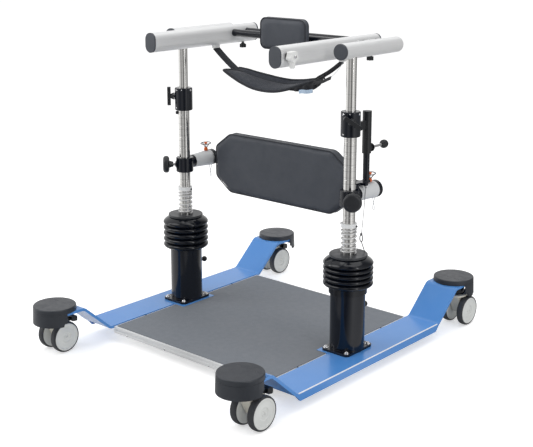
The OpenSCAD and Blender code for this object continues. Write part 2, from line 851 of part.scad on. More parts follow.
module pad_carrier() {
    margin = [20, 15];
    board = [chest_w - 2 * margin[0], 5, chest_h - 2 * margin[1]];
    brace = [24, rod_ys[1] - rod_ys[0], 8];
    block = [60, rod_d / 2 + 8, 16];
    color([0.07, 0.07, 0.075]) {
        for (y = rod_ys) translate([0, y, rod_z]) rotate([0, 90, 0])
            cylinder(d = rod_d, h = 2 * rod_end_x - 1, center = true);
        translate([0, chest_back_y + board[1] / 2 + soft_gap, chest_z]) cube(board, center = true);
        translate([0, rod_ys[0] - rod_d / 4, rod_z]) cube(block, center = true);
        for (s = SIDES) translate([s * chest_w / 4, (rod_ys[0] + rod_ys[1]) / 2, rod_z])
            cube(brace, center = true);
    }
}

module handrail(side) {
    lug = [14, 24];
    lug_y = side < 0 ? strap_y[0] : strap_y[1];
    color("gainsboro") difference() {
        union() {
            translate([side * handrail_x, handrail_y0 - side * handrail_shift, handrail_z]) about_y()
                linear_extrude(handrail_y1 - handrail_y0) difference() {
                    flat_oval(handrail_w, handrail_h);
                    flat_oval(handrail_w - 2 * handrail_wall, handrail_h - 2 * handrail_wall);
                }
            translate([side * handrail_x, lug_y, handrail_low_z - strap_lug_h])
                linear_extrude(strap_lug_h + handrail_wall / 2) square(lug, center = true);
        }
        for (y = rod_ys) translate([side * handrail_x, y, rod_z]) rotate([0, 90, 0])
            cylinder(r = rod_d / 2 + running, h = 2 * handrail_w, center = true);
        translate([side * handrail_x, rod_ys[1], handrail_z - handrail_h])
            cylinder(r = thumb_r + running, h = handrail_h);
        if (side > 0) translate([side * handrail_x, lever_y, lever_z]) rotate([0, 90, 0])
            cylinder(r = lever_r + running, h = handrail_w);
    }
}

module end_caps() {
    round = 2;
    color([0.3, 0.31, 0.33]) {
        for (s = SIDES, y = [handrail_y0 - end_cap_t, handrail_y1])
            translate([s * handrail_x, y - s * handrail_shift, handrail_z]) about_y()
                linear_extrude(end_cap_t) flat_oval(handrail_w, handrail_h);
        for (s = SIDES) translate([s * column_x, sleeve_y0 - soft_gap, swivel_z]) rotate([90, 0, 0])
            turned_knob(swivel_d, end_cap_t + 2, round);
    }
}

module thumb_screw(side) {
    head_d = 24;
    head_h = 12;
    stud_top = rod_z - rod_d / 2 - soft_gap;
    head_z = handrail_low_z - 8 - head_h;
    color([0.1, 0.1, 0.11]) translate([side * handrail_x, rod_ys[1], 0]) {
        translate([0, 0, head_z]) lobed_knob(head_d, head_h, 6);
        translate([0, 0, head_z + head_h - 1]) cylinder(d1 = head_d * 0.7, d2 = 3 * thumb_r, h = 5);
        translate([0, 0, head_z + 1]) cylinder(r = thumb_r, h = stud_top - head_z - 1);
    }
}

module cam_lever() {
    x0 = handrail_x + handrail_w / 2;
    boss_d = 36;
    boss_h = 20;
    bush = 8;
    lever_l = 35;
    color("whitesmoke") translate([x0, lever_y, lever_z]) rotate([0, 90, 0]) {
        translate([0, 0, -handrail_wall]) cylinder(r = lever_r, h = handrail_wall + bush);
        translate([0, 0, part_gap]) cylinder(r = boss_d / 2 - 6, h = bush);
        translate([0, 0, bush]) lobed_knob(boss_d, boss_h, 5);
        translate([lever_l / 2, 0, bush + 4]) linear_extrude(boss_h - 8)
            rotate(90) flat_oval(12, lever_l);
    }
}

// Soft pieces

// A cut-cornered outline in X and Z, each side in equal steps
function cut_outline(w, h, cx, cz, steps) = let (
    c = [[w / 2, cz - h / 2], [w / 2, h / 2 - cz], [w / 2 - cx, h / 2], [cx - w / 2, h / 2],
         [-w / 2, h / 2 - cz], [-w / 2, cz - h / 2], [cx - w / 2, -h / 2], [w / 2 - cx, -h / 2]])
    [for (i = [0 : 7], k = [0 : steps - 1]) c[i] + (c[(i + 1) % 8] - c[i]) * k / steps];

// A cushion: rings of its outline from back to front, drawn in at mid side, crowned in front.
// Each ring gives how far it is drawn in from the edge, and how far it lies from the back.
function cushion_rings(outline, w, h, y0, z0, t) = let (
    edge = t * 0.16,
    rings = [[edge * 1.2, 0], [edge * 0.25, t * 0.06], [0, t * 0.18], [edge * 0.35, t * 0.45],
             [0, t * 0.72], [edge * 0.4, t * 0.84], [edge * 1.7, t * 0.92],
             [h * 0.3, t * 0.985], [h * 0.45, t]])
    [for (r = rings) [for (p = outline)
        [p[0] * (1 - 2 * r[0] / w), y0 - r[1], z0 + p[1] * (1 - 2 * r[0] / h)]]];

module knee_pad() {
    color([0.28, 0.3, 0.33]) skin(cushion_rings(
        cut_outline(knee_pad_w, knee_pad_h, knee_cut_x, knee_cut_z, 5), knee_pad_w, knee_pad_h,
        knee_board_y - soft_gap, knee_pad_z, knee_pad_t - soft_gap));
}

module chest_pad() {
    corner = chest_h * 0.12;
    color([0.28, 0.3, 0.33]) skin(cushion_rings(
        cut_outline(chest_w, chest_h, corner, corner, 4), chest_w, chest_h,
        chest_back_y, chest_z, chest_t));
}

// The sling hangs from a strap at each end: a wide padded band that narrows to the straps.
// Its place runs from -1 at the left rail to 1 at the right one.
function smooth(a, b, v) = let (t = max(0, min(1, (v - a) / (b - a)))) t * t * (3 - 2 * t);
function sling_point(t) = [
    handrail_x * t,
    sling_mid_y + ((t < 0 ? strap_y[0] : strap_y[1]) - sling_mid_y) * t * t,
    sling_low_z + (sling_top_z - sling_low_z) * pow(abs(t), sling_sag)];
function sling_ring(i) = let (
    t = 2 * i / sling_steps - 1,
    along = sling_point(t + 0.01) - sling_point(t - 0.01),
    wide = 1 - smooth(band_end, band_end + 0.06, abs(t)),
    tilt = sling_tilt * smooth(-band_end, 0, t) * wide,
    across = [0, cos(tilt), sin(tilt)],
    dir = along / norm(along),
    side = across - (across * dir) * dir,
    s = side / norm(side),
    up = cross(dir, s),
    half_w = strap_w / 2 + (sling_w - strap_w) / 2 * wide,
    half_t = strap_t / 2 + (sling_t - strap_t) / 2 * wide)
    [for (k = [0 : sling_sides - 1]) let (a = 360 * k / sling_sides)
        sling_point(t) - half_t * up
        + half_w * pow(abs(cos(a)), 0.7) * sign(cos(a)) * s + half_t * sin(a) * up];

module pelvic_sling() {
    color([0.2, 0.21, 0.23]) skin([for (i = [0 : sling_steps]) sling_ring(i)]);
}

// Knee support

module knee_clamp(side) {
    round = 3;
    stub_end = 5;
    groove_w = pin_d + 2 * part_gap;
    color([0.07, 0.07, 0.075]) difference() {
        union() {
            at_column(side) translate([0, 0, knee_clamp_z - knee_clamp_h / 2])
                turned_knob(knee_clamp_d, knee_clamp_h, round);
            at_column(side) translate([0, 0, knee_z]) about_y() {
                cylinder(d = cone_d1, h = cone_y - part_gap);
                cylinder(d = stub_d, h = cone_y + cone_l - stub_end);
            }
            clamp_boss(side, knee_clamp_z, knee_clamp_d);
            if (side > 0) guide_arm();
        }
        at_column(side) cylinder(r = column_d / 2 + 2 * running, h = 2 * knee_clamp_z);
        on_diagonal(side, knee_clamp_z) cylinder(r = knee_stud_r + running, h = knee_clamp_d);
        at_column(side) translate([0, pin_y - groove_w / 2, knee_z]) about_y()
            ring(stub_d, stub_d / 2 - pin_groove, groove_w);
    }
}

// Arm of the right clamp that carries the guide rod and the tether
module guide_arm() {
    y0 = knee_clamp_d / 2 - 10;
    foot_l = 14;
    ear_w = 12;
    at_column(1) {
        translate([-arm_w / 2, y0, knee_z]) cube([arm_w, foot_l, arm_z - knee_z + arm_t]);
        translate([-arm_w / 2, y0, arm_z]) cube([arm_w, guide_y + guide_rod_d / 2 - y0, arm_t]);
        translate([0, tether_at[1] - ear_w / 2, arm_z]) cube([tether_at[0] + ear_w / 3, ear_w, arm_t]);
        translate([0, guide_y, arm_z]) cylinder(d = guide_rod_d, h = guide_rod_top_z - arm_z);
    }
}

module knee_knob(side) {
    stud_z = column_d / 2 + 1;
    foot_z = knee_clamp_d / 2 + 10;
    foot_h = 15;
    foot_r = [9, 13];
    knob_h = 22;
    round = 10;
    color([0.17, 0.18, 0.2]) on_diagonal(side, knee_clamp_z) {
        translate([0, 0, stud_z]) cylinder(r = knee_stud_r, h = foot_z - stud_z + 1);
        translate([0, 0, foot_z]) cylinder(r1 = foot_r[0], r2 = foot_r[1], h = foot_h);
        translate([0, 0, foot_z + foot_h - 1]) turned_knob(knee_knob_d, knob_h, round);
    }
}

module knee_swivels() {
    lip = 4;
    r0 = stub_d / 2 + running;
    y1 = cone_y + cone_l;
    color("gainsboro") for (s = SIDES) at_column(s) difference() {
        translate([0, 0, knee_z]) about_y() rotate_extrude()
            polygon([[r0, cone_y], [cone_d1 / 2, cone_y], [cone_d1 / 2, cone_y + lip],
                     [cone_d2 / 2, y1 - 3 * lip], [cone_d2 / 2, y1], [r0, y1]]);
        translate([0, pin_y, knee_z]) cylinder(r = pin_d / 2 + running, h = cone_d2);
    }
}

module knee_pad_bracket() {
    bar_y = cone_y + cone_l;
    board = [knee_pad_w - 2 * knee_cut_x, knee_board_t, knee_pad_h - 30];
    spacer_w = 60;
    spacer_y = bar_y - knee_board_y;
    color([0.07, 0.07, 0.075]) {
        translate([0, bar_y + knee_bar_t / 2, knee_z])
            cube([2 * column_x, knee_bar_t, knee_bar_h], center = true);
        for (s = SIDES) translate([s * column_x, bar_y, knee_z])
            about_y() cylinder(d = cone_d2 + 1, h = 2 * knee_bar_t);
        for (s = SIDES) translate([s * knee_pad_w / 4, knee_board_y + spacer_y / 2 + 1, knee_z])
            cube([spacer_w, spacer_y, knee_bar_h], center = true);
        translate([0, knee_board_y + knee_board_t / 2, knee_pad_z]) cube(board, center = true);
    }
}

module lock_pin(side) {
    seat_z = knee_z + stub_d / 2 - pin_groove + 0.5;
    head_z = knee_z + cone_d2 / 2 + part_gap;
    head_h = 10;
    key_r = 13;
    key_wire = 1;
    color("darkorange") at_column(side) translate([0, pin_y, 0]) {
        translate([0, 0, seat_z]) cylinder(d = pin_d, h = head_z - seat_z + 1);
        translate([0, 0, head_z]) cylinder(d1 = 14, d2 = 11, h = head_h);
        translate([0, key_r - 4, head_z + head_h * 0.6])
            rotate_extrude() translate([key_r, 0]) circle(key_wire, $fn = 24);
    }
}

// Small movers on the base and the right column

module lock_plunger(side) {
    ball_y = plunger_y + 36;
    tip_y = plunger_y - housing_wall - 7;
    color([0.1, 0.1, 0.11]) at_column(side) translate([0, 0, plunger_z]) {
        translate([0, tip_y, 0]) about_y() cylinder(d = plunger_d, h = ball_y - tip_y);
        translate([0, ball_y, 0]) sphere(d = plunger_ball_d);
    }
}

module guide_sleeve() {
    r = guide_d / 2;
    bridge_z = mast_clamp_z + mast_clamp_h / 3;
    bridge_h = 26;
    boss_d = 18;
    color([0.07, 0.07, 0.075]) at_column(1) difference() {
        union() {
            translate([0, guide_y, guide_z0]) cylinder(r = r, h = guide_z1 - guide_z0);
            translate([-6, mast_clamp_d / 2 - 4, bridge_z - bridge_h / 2])
                cube([12, guide_y - r - mast_clamp_d / 2 + 8, bridge_h]);
            translate([0, guide_y, guide_knob_z]) about_y() cylinder(d = boss_d, h = r + 8);
        }
        translate([0, guide_y, guide_z0 - 1])
            cylinder(r = guide_rod_d / 2 + running, h = guide_z1 - guide_z0 - 5);
        cylinder(r = mast_clamp_d / 2 + running, h = 2 * mast_clamp_z);
        translate([0, guide_y, guide_knob_z]) about_y() cylinder(r = guide_stud_r + running, h = guide_d);
    }
}

module guide_knob() {
    y0 = guide_y + guide_rod_d / 2 + 2 * running + soft_gap;
    washer_y = guide_y + guide_d / 2 + 9;
    washer_d = 44;
    knob_y = guide_y + guide_knob_reach;
    knob_d = 32;
    color([0.1, 0.1, 0.11]) at_column(1) translate([0, 0, guide_knob_z]) {
        translate([0, y0, 0]) about_y() cylinder(r = guide_stud_r, h = knob_y - y0 + 2);
        translate([0, washer_y, 0]) about_y() cylinder(d = washer_d, h = 4);
        translate([0, knob_y, 0]) about_y() lobed_knob(knob_d, 22, 5);
    }
}

module tether() {
    eye_r = 5;
    hook_r = 2.5;
    hook_h = 16;
    z0 = plate_top_z + soft_gap + tether_r;
    hook_z = z0 + 2 * eye_r;
    color("silver") at_column(1) translate([tether_at[0], tether_at[1], 0]) {
        translate([0, 0, hook_z]) cylinder(r = tether_r, h = arm_z - soft_gap - hook_z);
        translate([0, 0, hook_z - tether_r]) cylinder(r = hook_r, h = hook_h);
        translate([0, 0, z0 + eye_r]) rotate([90, 0, 0]) rotate_extrude()
            translate([eye_r, 0]) circle(tether_r, $fn = 24);
    }
}

side_rails();
platform_tray();
platform_mat();
caster_caps();
caster_stems();
column_bases();
bellows();
gimbals();
at_column(-1) column_tube();  // left_column_tube
at_column(1) column_tube();  // right_column_tube
at_column(-1) spring_plate();  // left_spring_plate
at_column(1) spring_plate();  // right_spring_plate
at_column(-1) spring();  // left_spring
at_column(1) spring();  // right_spring
at_column(-1) spring_collar();  // left_spring_collar
at_column(1) spring_collar();  // right_spring_collar
mast_clamp(-1);  // left_mast_clamp
mast_clamp(1);  // right_mast_clamp
mast_handle(-1, handle_turns[0], handle_widths[0]);  // left_mast_handle
mast_handle(1, handle_turns[1], handle_widths[1]);  // right_mast_handle
at_column(-1) mast();  // left_mast
at_column(1) mast();  // right_mast
at_column(-1) swivel_sleeve();  // left_swivel_sleeve
at_column(1) swivel_sleeve();  // right_swivel_sleeve
swivel_ends();
pad_carrier();
chest_pad();
pelvic_sling();
handrail(-1);  // left_handrail
handrail(1);  // right_handrail
end_caps();
thumb_screw(-1);  // left_thumb_screw
thumb_screw(1);  // right_thumb_screw
cam_lever();
knee_clamp(-1);  // left_knee_clamp
knee_clamp(1);  // right_knee_clamp
knee_knob(-1);  // left_knee_knob
knee_knob(1);  // right_knee_knob
knee_swivels();
knee_pad_bracket();
knee_pad();
lock_pin(-1);  // left_lock_pin
lock_pin(1);  // right_lock_pin
lock_plunger(-1);  // left_lock_plunger
lock_plunger(1);  // right_lock_plunger
guide_sleeve();
guide_knob();
tether();
for (c = CORNERS) at_caster(c) fork();
for (c = CORNERS) at_caster(c) pedal();
for (c = CORNERS) at_caster(c) wheels();
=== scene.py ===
"""Looks of the standing frame: studio, finishes, soft pieces and small hardware round the CAD model."""
import math

import bmesh
import bpy
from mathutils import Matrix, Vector


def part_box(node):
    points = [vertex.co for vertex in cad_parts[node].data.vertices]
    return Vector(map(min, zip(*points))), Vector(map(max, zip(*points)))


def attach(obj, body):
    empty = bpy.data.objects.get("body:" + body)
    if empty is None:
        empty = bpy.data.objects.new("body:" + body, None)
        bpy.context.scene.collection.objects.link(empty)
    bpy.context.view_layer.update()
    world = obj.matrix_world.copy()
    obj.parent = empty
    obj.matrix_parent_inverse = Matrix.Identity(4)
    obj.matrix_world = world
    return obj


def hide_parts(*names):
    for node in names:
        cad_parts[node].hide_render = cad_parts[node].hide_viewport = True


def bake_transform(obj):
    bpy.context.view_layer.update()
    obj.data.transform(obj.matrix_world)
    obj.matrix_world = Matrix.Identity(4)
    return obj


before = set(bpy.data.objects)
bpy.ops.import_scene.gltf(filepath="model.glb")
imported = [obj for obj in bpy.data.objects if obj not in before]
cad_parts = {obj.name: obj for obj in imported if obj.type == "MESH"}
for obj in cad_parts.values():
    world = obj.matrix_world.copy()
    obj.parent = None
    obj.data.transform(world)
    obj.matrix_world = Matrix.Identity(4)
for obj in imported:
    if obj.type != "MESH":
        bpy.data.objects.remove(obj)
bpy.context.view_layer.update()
scene = bpy.context.scene
scene.view_settings.view_transform = "Standard"

SIDES = {"left": -1, "right": 1}
CORNERS = ("front_left", "front_right", "rear_left", "rear_right")
UP = Vector((0, 0, 1))
COLUMN_X = 0.364


def srgb(red, green, blue):
    """A colour written as it looks on screen, from 0 to 255, as linear values."""
    parts = [c / 255 for c in (red, green, blue)]
    return tuple(c / 12.92 if c <= 0.04045 else ((c + 0.055) / 1.055) ** 2.4 for c in parts)


# Node trees


def put(socket, value):
    """Sets a socket's value, or links another socket to it."""
    if isinstance(value, bpy.types.NodeSocket):
        socket.id_data.links.new(value, socket)
    else:
        socket.default_value = value


def node(tree, kind, inputs=None, **settings):
    made = tree.nodes.new(kind)
    for name, value in settings.items():
        setattr(made, name, value)
    for key, value in (inputs or {}).items():
        put(made.inputs[key], value)
    return made


def calc(tree, operation, *values):
    made = node(tree, "ShaderNodeMath", dict(enumerate(values)), operation=operation)
    return made.outputs[0]


def spread(tree, value, low, high, to_low=0.0, to_high=1.0):
    """Maps a value from one range to another, and stops at its ends."""
    inputs = {"Value": value, "From Min": low, "From Max": high, "To Min": to_low, "To Max": to_high}
    return node(tree, "ShaderNodeMapRange", inputs).outputs["Result"]


def mixed(tree, factor, first, second):
    made = node(tree, "ShaderNodeMix", {0: factor, 6: first, 7: second}, data_type="RGBA")
    return made.outputs[2]


class Finish:
    """A node material that is built up step by step. Its patterns stay on the piece as it moves."""

    def __init__(self, name, colour, rough, metal=0.0, **sockets):
        self.material = bpy.data.materials.new(name)
        self.material.use_nodes = True
        self.tree = self.material.node_tree
        self.shader = self.tree.nodes["Principled BSDF"]
        self.place = node(self.tree, "ShaderNodeTexCoord").outputs["Object"]
        self.colour = (*colour, 1)
        self.normal = None
        self.set("Base Color", self.colour)
        self.set("Roughness", rough)
        self.set("Metallic", metal)
        for socket, value in sockets.items():
            self.set(socket.replace("_", " "), value)

    def set(self, socket, value):
        put(self.shader.inputs[socket], value)

    def stretched(self, stretch):
        return node(self.tree, "ShaderNodeMapping", {"Vector": self.place, "Scale": stretch}).outputs[0]

    def noise(self, scale, detail=2.0, stretch=(1, 1, 1)):
        inputs = {"Vector": self.stretched(stretch), "Scale": scale, "Detail": detail}
        return node(self.tree, "ShaderNodeTexNoise", inputs).outputs["Fac"]

    def cells(self, scale, feature="F1"):
        inputs = {"Vector": self.place, "Scale": scale}
        return node(self.tree, "ShaderNodeTexVoronoi", inputs, feature=feature).outputs["Distance"]

    def bands(self, scale, direction):
        inputs = {"Vector": self.place, "Scale": scale}
        made = node(self.tree, "ShaderNodeTexWave", inputs, bands_direction=direction)
        return made.outputs["Fac"]

    def sides(self):
        """The place on the piece: how far out it is to either side and to front or back, and its height."""
        parts = node(self.tree, "ShaderNodeSeparateXYZ", {0: self.place}).outputs
        return calc(self.tree, "ABSOLUTE", parts[0]), calc(self.tree, "ABSOLUTE", parts[1]), parts[2]

    def tint(self, factor, colour):
        """Mixes a colour in over what is there."""
        self.colour = mixed(self.tree, factor, self.colour, (*colour, 1))
        self.set("Base Color", self.colour)

    def patches(self, scale, detail, low, high, amount, colour):
        """Mixes a colour in where a noise is strong."""
        self.tint(spread(self.tree, self.noise(scale, detail), low, high, 0.0, amount), colour)

    def uneven(self, value, low, high):
        """Lets the roughness follow a pattern."""
        self.set("Roughness", spread(self.tree, value, 0.3, 0.7, low, high))

    def soften(self, radius):
        """Rounds the hard edges in the shading."""
        made = node(self.tree, "ShaderNodeBevel", {"Radius": radius}, samples=6)
        self.normal = made.outputs["Normal"]
        self.set("Normal", self.normal)

    def bump(self, height, depth, strength=0.6):
        inputs = {"Height": height, "Distance": depth, "Strength": strength}
        if self.normal:
            inputs["Normal"] = self.normal
        self.normal = node(self.tree, "ShaderNodeBump", inputs).outputs["Normal"]
        self.set("Normal", self.normal)

    def worn(self, radius, colour, amount):
        """Shows another colour along the edges, broken up by a fine pattern."""
        bevel = node(self.tree, "ShaderNodeBevel", {"Radius": radius}, samples=6).outputs["Normal"]
        flat = node(self.tree, "ShaderNodeNewGeometry").outputs["Normal"]
        dots = node(self.tree, "ShaderNodeVectorMath", {0: bevel, 1: flat}, operation="DOT_PRODUCT")
        edge = spread(self.tree, dots.outputs["Value"], 0.98, 0.8)
        patchy = spread(self.tree, self.noise(60, 3), 0.35, 0.65)
        mask = calc(self.tree, "MULTIPLY", edge, patchy)
        self.tint(calc(self.tree, "MULTIPLY", mask, amount), colour)


# Finishes, with the places of the marks and of the rails' painted highlight on them

RAIL_HIGHLIGHT_X = 0.4672
RAIL_HIGHLIGHT_END_Y = 0.370
RAIL_TOP_Z = 0.0534
TRAY_STRIP_X = 0.3387
TRAY_JOINT_Y = 0.22
TRAY_JOINT_HALF = 0.0039
MARK_BLUR = 0.0002
RING_STEP = {"column": 0.020, "mast": 0.040}
SCALE_STEP = 0.005
SCALE_ANGLE = 0.10


def painted(name, colour, rough, edge, peel=0.00004, **sockets):
    """Paint or coat: faint cloudiness, orange peel, and a paler edge."""
    made = Finish(name, colour, rough, **sockets)
    made.patches(9, 3, 0.35, 0.7, 0.10, edge)
    made.worn(0.0015, edge, 0.55)
    made.uneven(made.noise(35, 4), rough * 0.85, rough * 1.2)
    made.soften(0.0012)
    made.bump(made.noise(700, 2), peel)
    return made


def moulded(name, colour, rough, pale, grain=0.00005, scale=1600):
    """Moulded plastic: fine spark grain, and soft handling marks."""
    made = Finish(name, colour, rough)
    made.patches(14, 4, 0.4, 0.75, 0.16, pale)
    made.worn(0.0012, pale, 0.5)
    made.uneven(made.noise(50, 3), rough * 0.85, min(1.0, rough * 1.2))
    made.soften(0.001)
    made.bump(made.noise(scale, 2), grain)
    return made


def brushed(name, colour, rough, stretch, metal=1.0, line_depth=0.00002):
    """Metal with a drawn or brushed grain along one direction."""
    made = Finish(name, colour, rough, metal)
    grain = made.noise(420, 4, stretch)
    dull = tuple(c * 0.88 for c in colour)
    made.tint(spread(made.tree, grain, 0.3, 0.7, 0.0, 0.4), dull)
    made.patches(5, 2, 0.4, 0.8, 0.08, dull)
    made.uneven(grain, rough * 0.85, rough * 1.15)
    made.soften(0.0008)
    made.bump(grain, line_depth)
    return made


def rubber(name, colour, rough, dust, amount=0.3, **sockets):
    """Rubber with dusty patches and edges."""
    made = Finish(name, colour, rough, **sockets)
    made.patches(30, 5, 0.45, 0.8, amount, dust)
    made.worn(0.001, dust, amount)
    made.uneven(made.noise(80, 3), rough * 0.9, min(1.0, rough * 1.15))
    made.soften(0.0008)
    made.bump(made.noise(900, 3), 0.00006)
    return made


def mat_finish():
    """Anti-slip mat: fine pressed pips with paler specks."""
    made = Finish("mat_rubber", srgb(119, 124, 131), 0.75)
    pips = made.cells(420)
    made.tint(spread(made.tree, pips, 0.1, 0.5, 0.35, 0.0), srgb(138, 141, 148))
    made.patches(1200, 2, 0.58, 0.7, 0.5, srgb(84, 87, 93))
    made.patches(5, 4, 0.45, 0.75, 0.22, srgb(128, 130, 134))
    made.uneven(made.noise(60, 3), 0.66, 0.85)
    made.bump(pips, 0.0004, 0.5)
    return made


def leather_finish():
    """Leatherette: small pebbles with creases between them."""
    made = Finish("pad_leather", srgb(66, 70, 78), 0.5, Specular_IOR_Level=0.45)
    pebbles = made.cells(520, "DISTANCE_TO_EDGE")
    crease = spread(made.tree, pebbles, 0.0, 0.12)
    made.tint(spread(made.tree, pebbles, 0.0, 0.1, 0.35, 0.0), srgb(52, 55, 61))
    made.patches(11, 4, 0.4, 0.75, 0.25, srgb(86, 90, 97))
    made.uneven(made.noise(40, 3), 0.42, 0.6)
    made.bump(crease, 0.00012, 0.5)
    made.bump(made.noise(28, 2), 0.0006, 0.3)
    return made


def woven(name, colour, thread, scale=900):
    """Woven cloth or webbing: two crossed sets of threads."""
    made = Finish(name, colour, 0.85, Sheen_Weight=0.15)
    weave = calc(made.tree, "MULTIPLY", made.bands(scale, "DIAGONAL"), made.bands(scale, "Y"))
    made.tint(spread(made.tree, weave, 0.2, 0.8, 0.0, 0.6), thread)
    made.patches(25, 4, 0.4, 0.75, 0.2, thread)
    made.uneven(made.noise(120, 3), 0.75, 0.95)
    made.bump(weave, 0.0003, 0.5)
    return made


def highlit_rail():
    """Blue paint with a painted highlight: a white line along the low stretch of each rail's outer top edge, where
    its rounded bend catches the light.
    """
    made = painted("rail_blue", srgb(78, 140, 211), 0.22, srgb(138, 180, 228))
    x, y, z = made.sides()
    outer = spread(made.tree, x, RAIL_HIGHLIGHT_X - MARK_BLUR, RAIL_HIGHLIGHT_X + MARK_BLUR)
    near = spread(made.tree, y, RAIL_HIGHLIGHT_END_Y + 10 * MARK_BLUR, RAIL_HIGHLIGHT_END_Y - 10 * MARK_BLUR)
    high = spread(made.tree, z, RAIL_TOP_Z - MARK_BLUR, RAIL_TOP_Z + MARK_BLUR)
    mask = calc(made.tree, "MULTIPLY", calc(made.tree, "MULTIPLY", outer, near), high)
    # Painted highlight: the white line on the rounded outer top edge of each rail.
    made.tint(mask, srgb(240, 243, 248))
    return made


def marked_tray():
    """Bright aluminium with a dark joint across each edge strip."""
    made = brushed("tray_aluminium", (0.86, 0.87, 0.88), 0.38, (0.03, 1, 1), 0.5)
    x, y, z = made.sides()
    outer = spread(made.tree, x, TRAY_STRIP_X - MARK_BLUR, TRAY_STRIP_X + MARK_BLUR)
    off = calc(made.tree, "ABSOLUTE", calc(made.tree, "SUBTRACT", y, TRAY_JOINT_Y))
    joint = spread(made.tree, off, TRAY_JOINT_HALF + 1.5 * MARK_BLUR, TRAY_JOINT_HALF - 1.5 * MARK_BLUR)
    made.tint(calc(made.tree, "MULTIPLY", outer, joint), srgb(52, 53, 56))
    return made


def scaled_steel(name, step, share, amount):
    """Drawn tube with fine rings at even heights."""
    made = brushed(name, (0.82, 0.81, 0.79), 0.13, (1, 1, 0.04))
    z = made.sides()[2]
    beat = calc(made.tree, "FRACT", calc(made.tree, "DIVIDE", z, step))
    ring = spread(made.tree, beat, share * 1.25, share)
    made.tint(calc(made.tree, "MULTIPLY", ring, amount), srgb(70, 72, 76))
    return made


def ruled_steel():
    """The right mast's tube, with a row of short scale lines down its outer side."""
    made = scaled_steel("ruled_steel", RING_STEP["mast"], 0.02, 0.25)
    tree = made.tree
    x, y, z = node(tree, "ShaderNodeSeparateXYZ", {0: made.place}).outputs
    angle = calc(tree, "ARCTAN2", y, calc(tree, "SUBTRACT", x, COLUMN_X))
    row = spread(tree, calc(tree, "ABSOLUTE", calc(tree, "SUBTRACT", angle, SCALE_ANGLE)), 0.20, 0.17)
    beat = calc(tree, "FRACT", calc(tree, "DIVIDE", z, SCALE_STEP))
    made.tint(calc(tree, "MULTIPLY", row, spread(tree, beat, 0.38, 0.32)), srgb(64, 66, 70))
    return made


BLUE = highlit_rail()
GLOSS_BLACK = painted("gloss_black", srgb(8, 13, 24), 0.12, srgb(34, 40, 51), 0.00002)
SATIN_BLACK = painted("satin_black", srgb(22, 24, 28), 0.3, srgb(60, 63, 68))
CAP = moulded("cap_plastic", srgb(44, 48, 55), 0.4, srgb(72, 77, 84))
KNOB = moulded("knob_plastic", srgb(28, 30, 34), 0.38, srgb(66, 69, 74))
END_CAP = moulded("end_cap_plastic", srgb(66, 70, 77), 0.45, srgb(96, 100, 106))
PLATE = moulded("plate_plastic", srgb(46, 48, 52), 0.38, srgb(82, 84, 88))
WHITE = moulded("white_plastic", srgb(232, 233, 232), 0.35, srgb(210, 210, 208))
CONE = moulded("cone_plastic", srgb(206, 208, 210), 0.4, srgb(220, 221, 222))
FORK = moulded("fork_plastic", srgb(204, 201, 190), 0.45, srgb(220, 218, 209))
DISC = moulded("wheel_disc", srgb(220, 222, 220), 0.38, srgb(204, 206, 204))
ORANGE = moulded("pin_orange", srgb(226, 104, 34), 0.38, srgb(240, 140, 80))
TUBE = scaled_steel("column_steel", RING_STEP["column"], 0.04, 0.5)
STEEL = scaled_steel("mast_steel", RING_STEP["mast"], 0.02, 0.25)
RULED = ruled_steel()
BRIGHT = brushed("bright_steel", (0.82, 0.82, 0.83), 0.2, (1, 1, 1))
DARK_STEEL = brushed("dark_steel", (0.17, 0.175, 0.185), 0.28, (1, 1, 1))
SPRING = brushed("spring_steel", (0.74, 0.74, 0.74), 0.34, (1, 1, 1), 0.5)
ZINC = brushed("caster_metal", (0.72, 0.73, 0.74), 0.36, (1, 1, 1), 0.75)
TRAY = marked_tray()
RAIL_ALUMINIUM = brushed("handrail_aluminium", (0.79, 0.795, 0.80), 0.42, (1, 0.03, 1), 0.4)
COLLAR = moulded("collar_white", srgb(228, 229, 229), 0.32, srgb(212, 213, 214))
TYRE = rubber("tyre_rubber", srgb(54, 56, 60), 0.6, srgb(92, 94, 97))
BELLOWS = rubber("bellows_rubber", srgb(7, 11, 20), 0.13, srgb(28, 33, 43), 0.12, Specular_IOR_Level=0.42)
MAT = mat_finish()
LEATHER = leather_finish()
# The piping is darker than the leather: partly the seam's own colour, partly painted shade along the pads' side
# walls.
PIPING_AND_SHADE = moulded("pad_piping_and_shade", srgb(40, 42, 49), 0.42, srgb(60, 63, 70))
SLING = woven("sling_fabric", srgb(40, 44, 53), srgb(60, 64, 74))
BINDING = woven("sling_binding", srgb(30, 33, 40), srgb(54, 57, 65), 700)
WEBBING = woven("webbing", srgb(20, 23, 30), srgb(42, 46, 54), 500)
BLACK_WEBBING = woven("black_webbing", srgb(8, 11, 19), srgb(19, 23, 33), 500)
TAG = woven("tag_cloth", srgb(168, 190, 214), srgb(200, 214, 228), 1200)
CORD = woven("cord_fibre", srgb(186, 190, 194), srgb(214, 217, 220), 2000)

NODE_FINISHES = (
    (BLUE, ("side_rails",)),
    (TRAY, ("platform_tray",)),
    (MAT, ("platform_mat",)),
    (CAP, ("caster_caps",)),
    (GLOSS_BLACK, ("caster_stems", "column_bases", "pad_carrier", "knee_pad_bracket")),
    (ZINC, ("gimbals",)),
    (RAIL_ALUMINIUM, ("swivel_ends",)),
    (END_CAP, ("end_caps",)),
    (WHITE, ("cam_lever",)),
    (SATIN_BLACK, ("guide_sleeve",)),
    (RULED, ("right_mast",)),
    (STEEL, ("left_mast",)),
    (FORK, ["fork_" + corner for corner in CORNERS]),
    (KNOB, ["pedal_" + corner for corner in CORNERS]),
)
SIDE_FINISHES = (
    (TUBE, ("column_tube",)),
    (PLATE, ("spring_plate",)),
    (COLLAR, ("spring_collar",)),
    (GLOSS_BLACK, ("mast_clamp", "knee_clamp")),
    (RAIL_ALUMINIUM, ("swivel_sleeve", "handrail")),
    (KNOB, ("mast_handle", "thumb_screw", "knee_knob", "lock_plunger")),
)


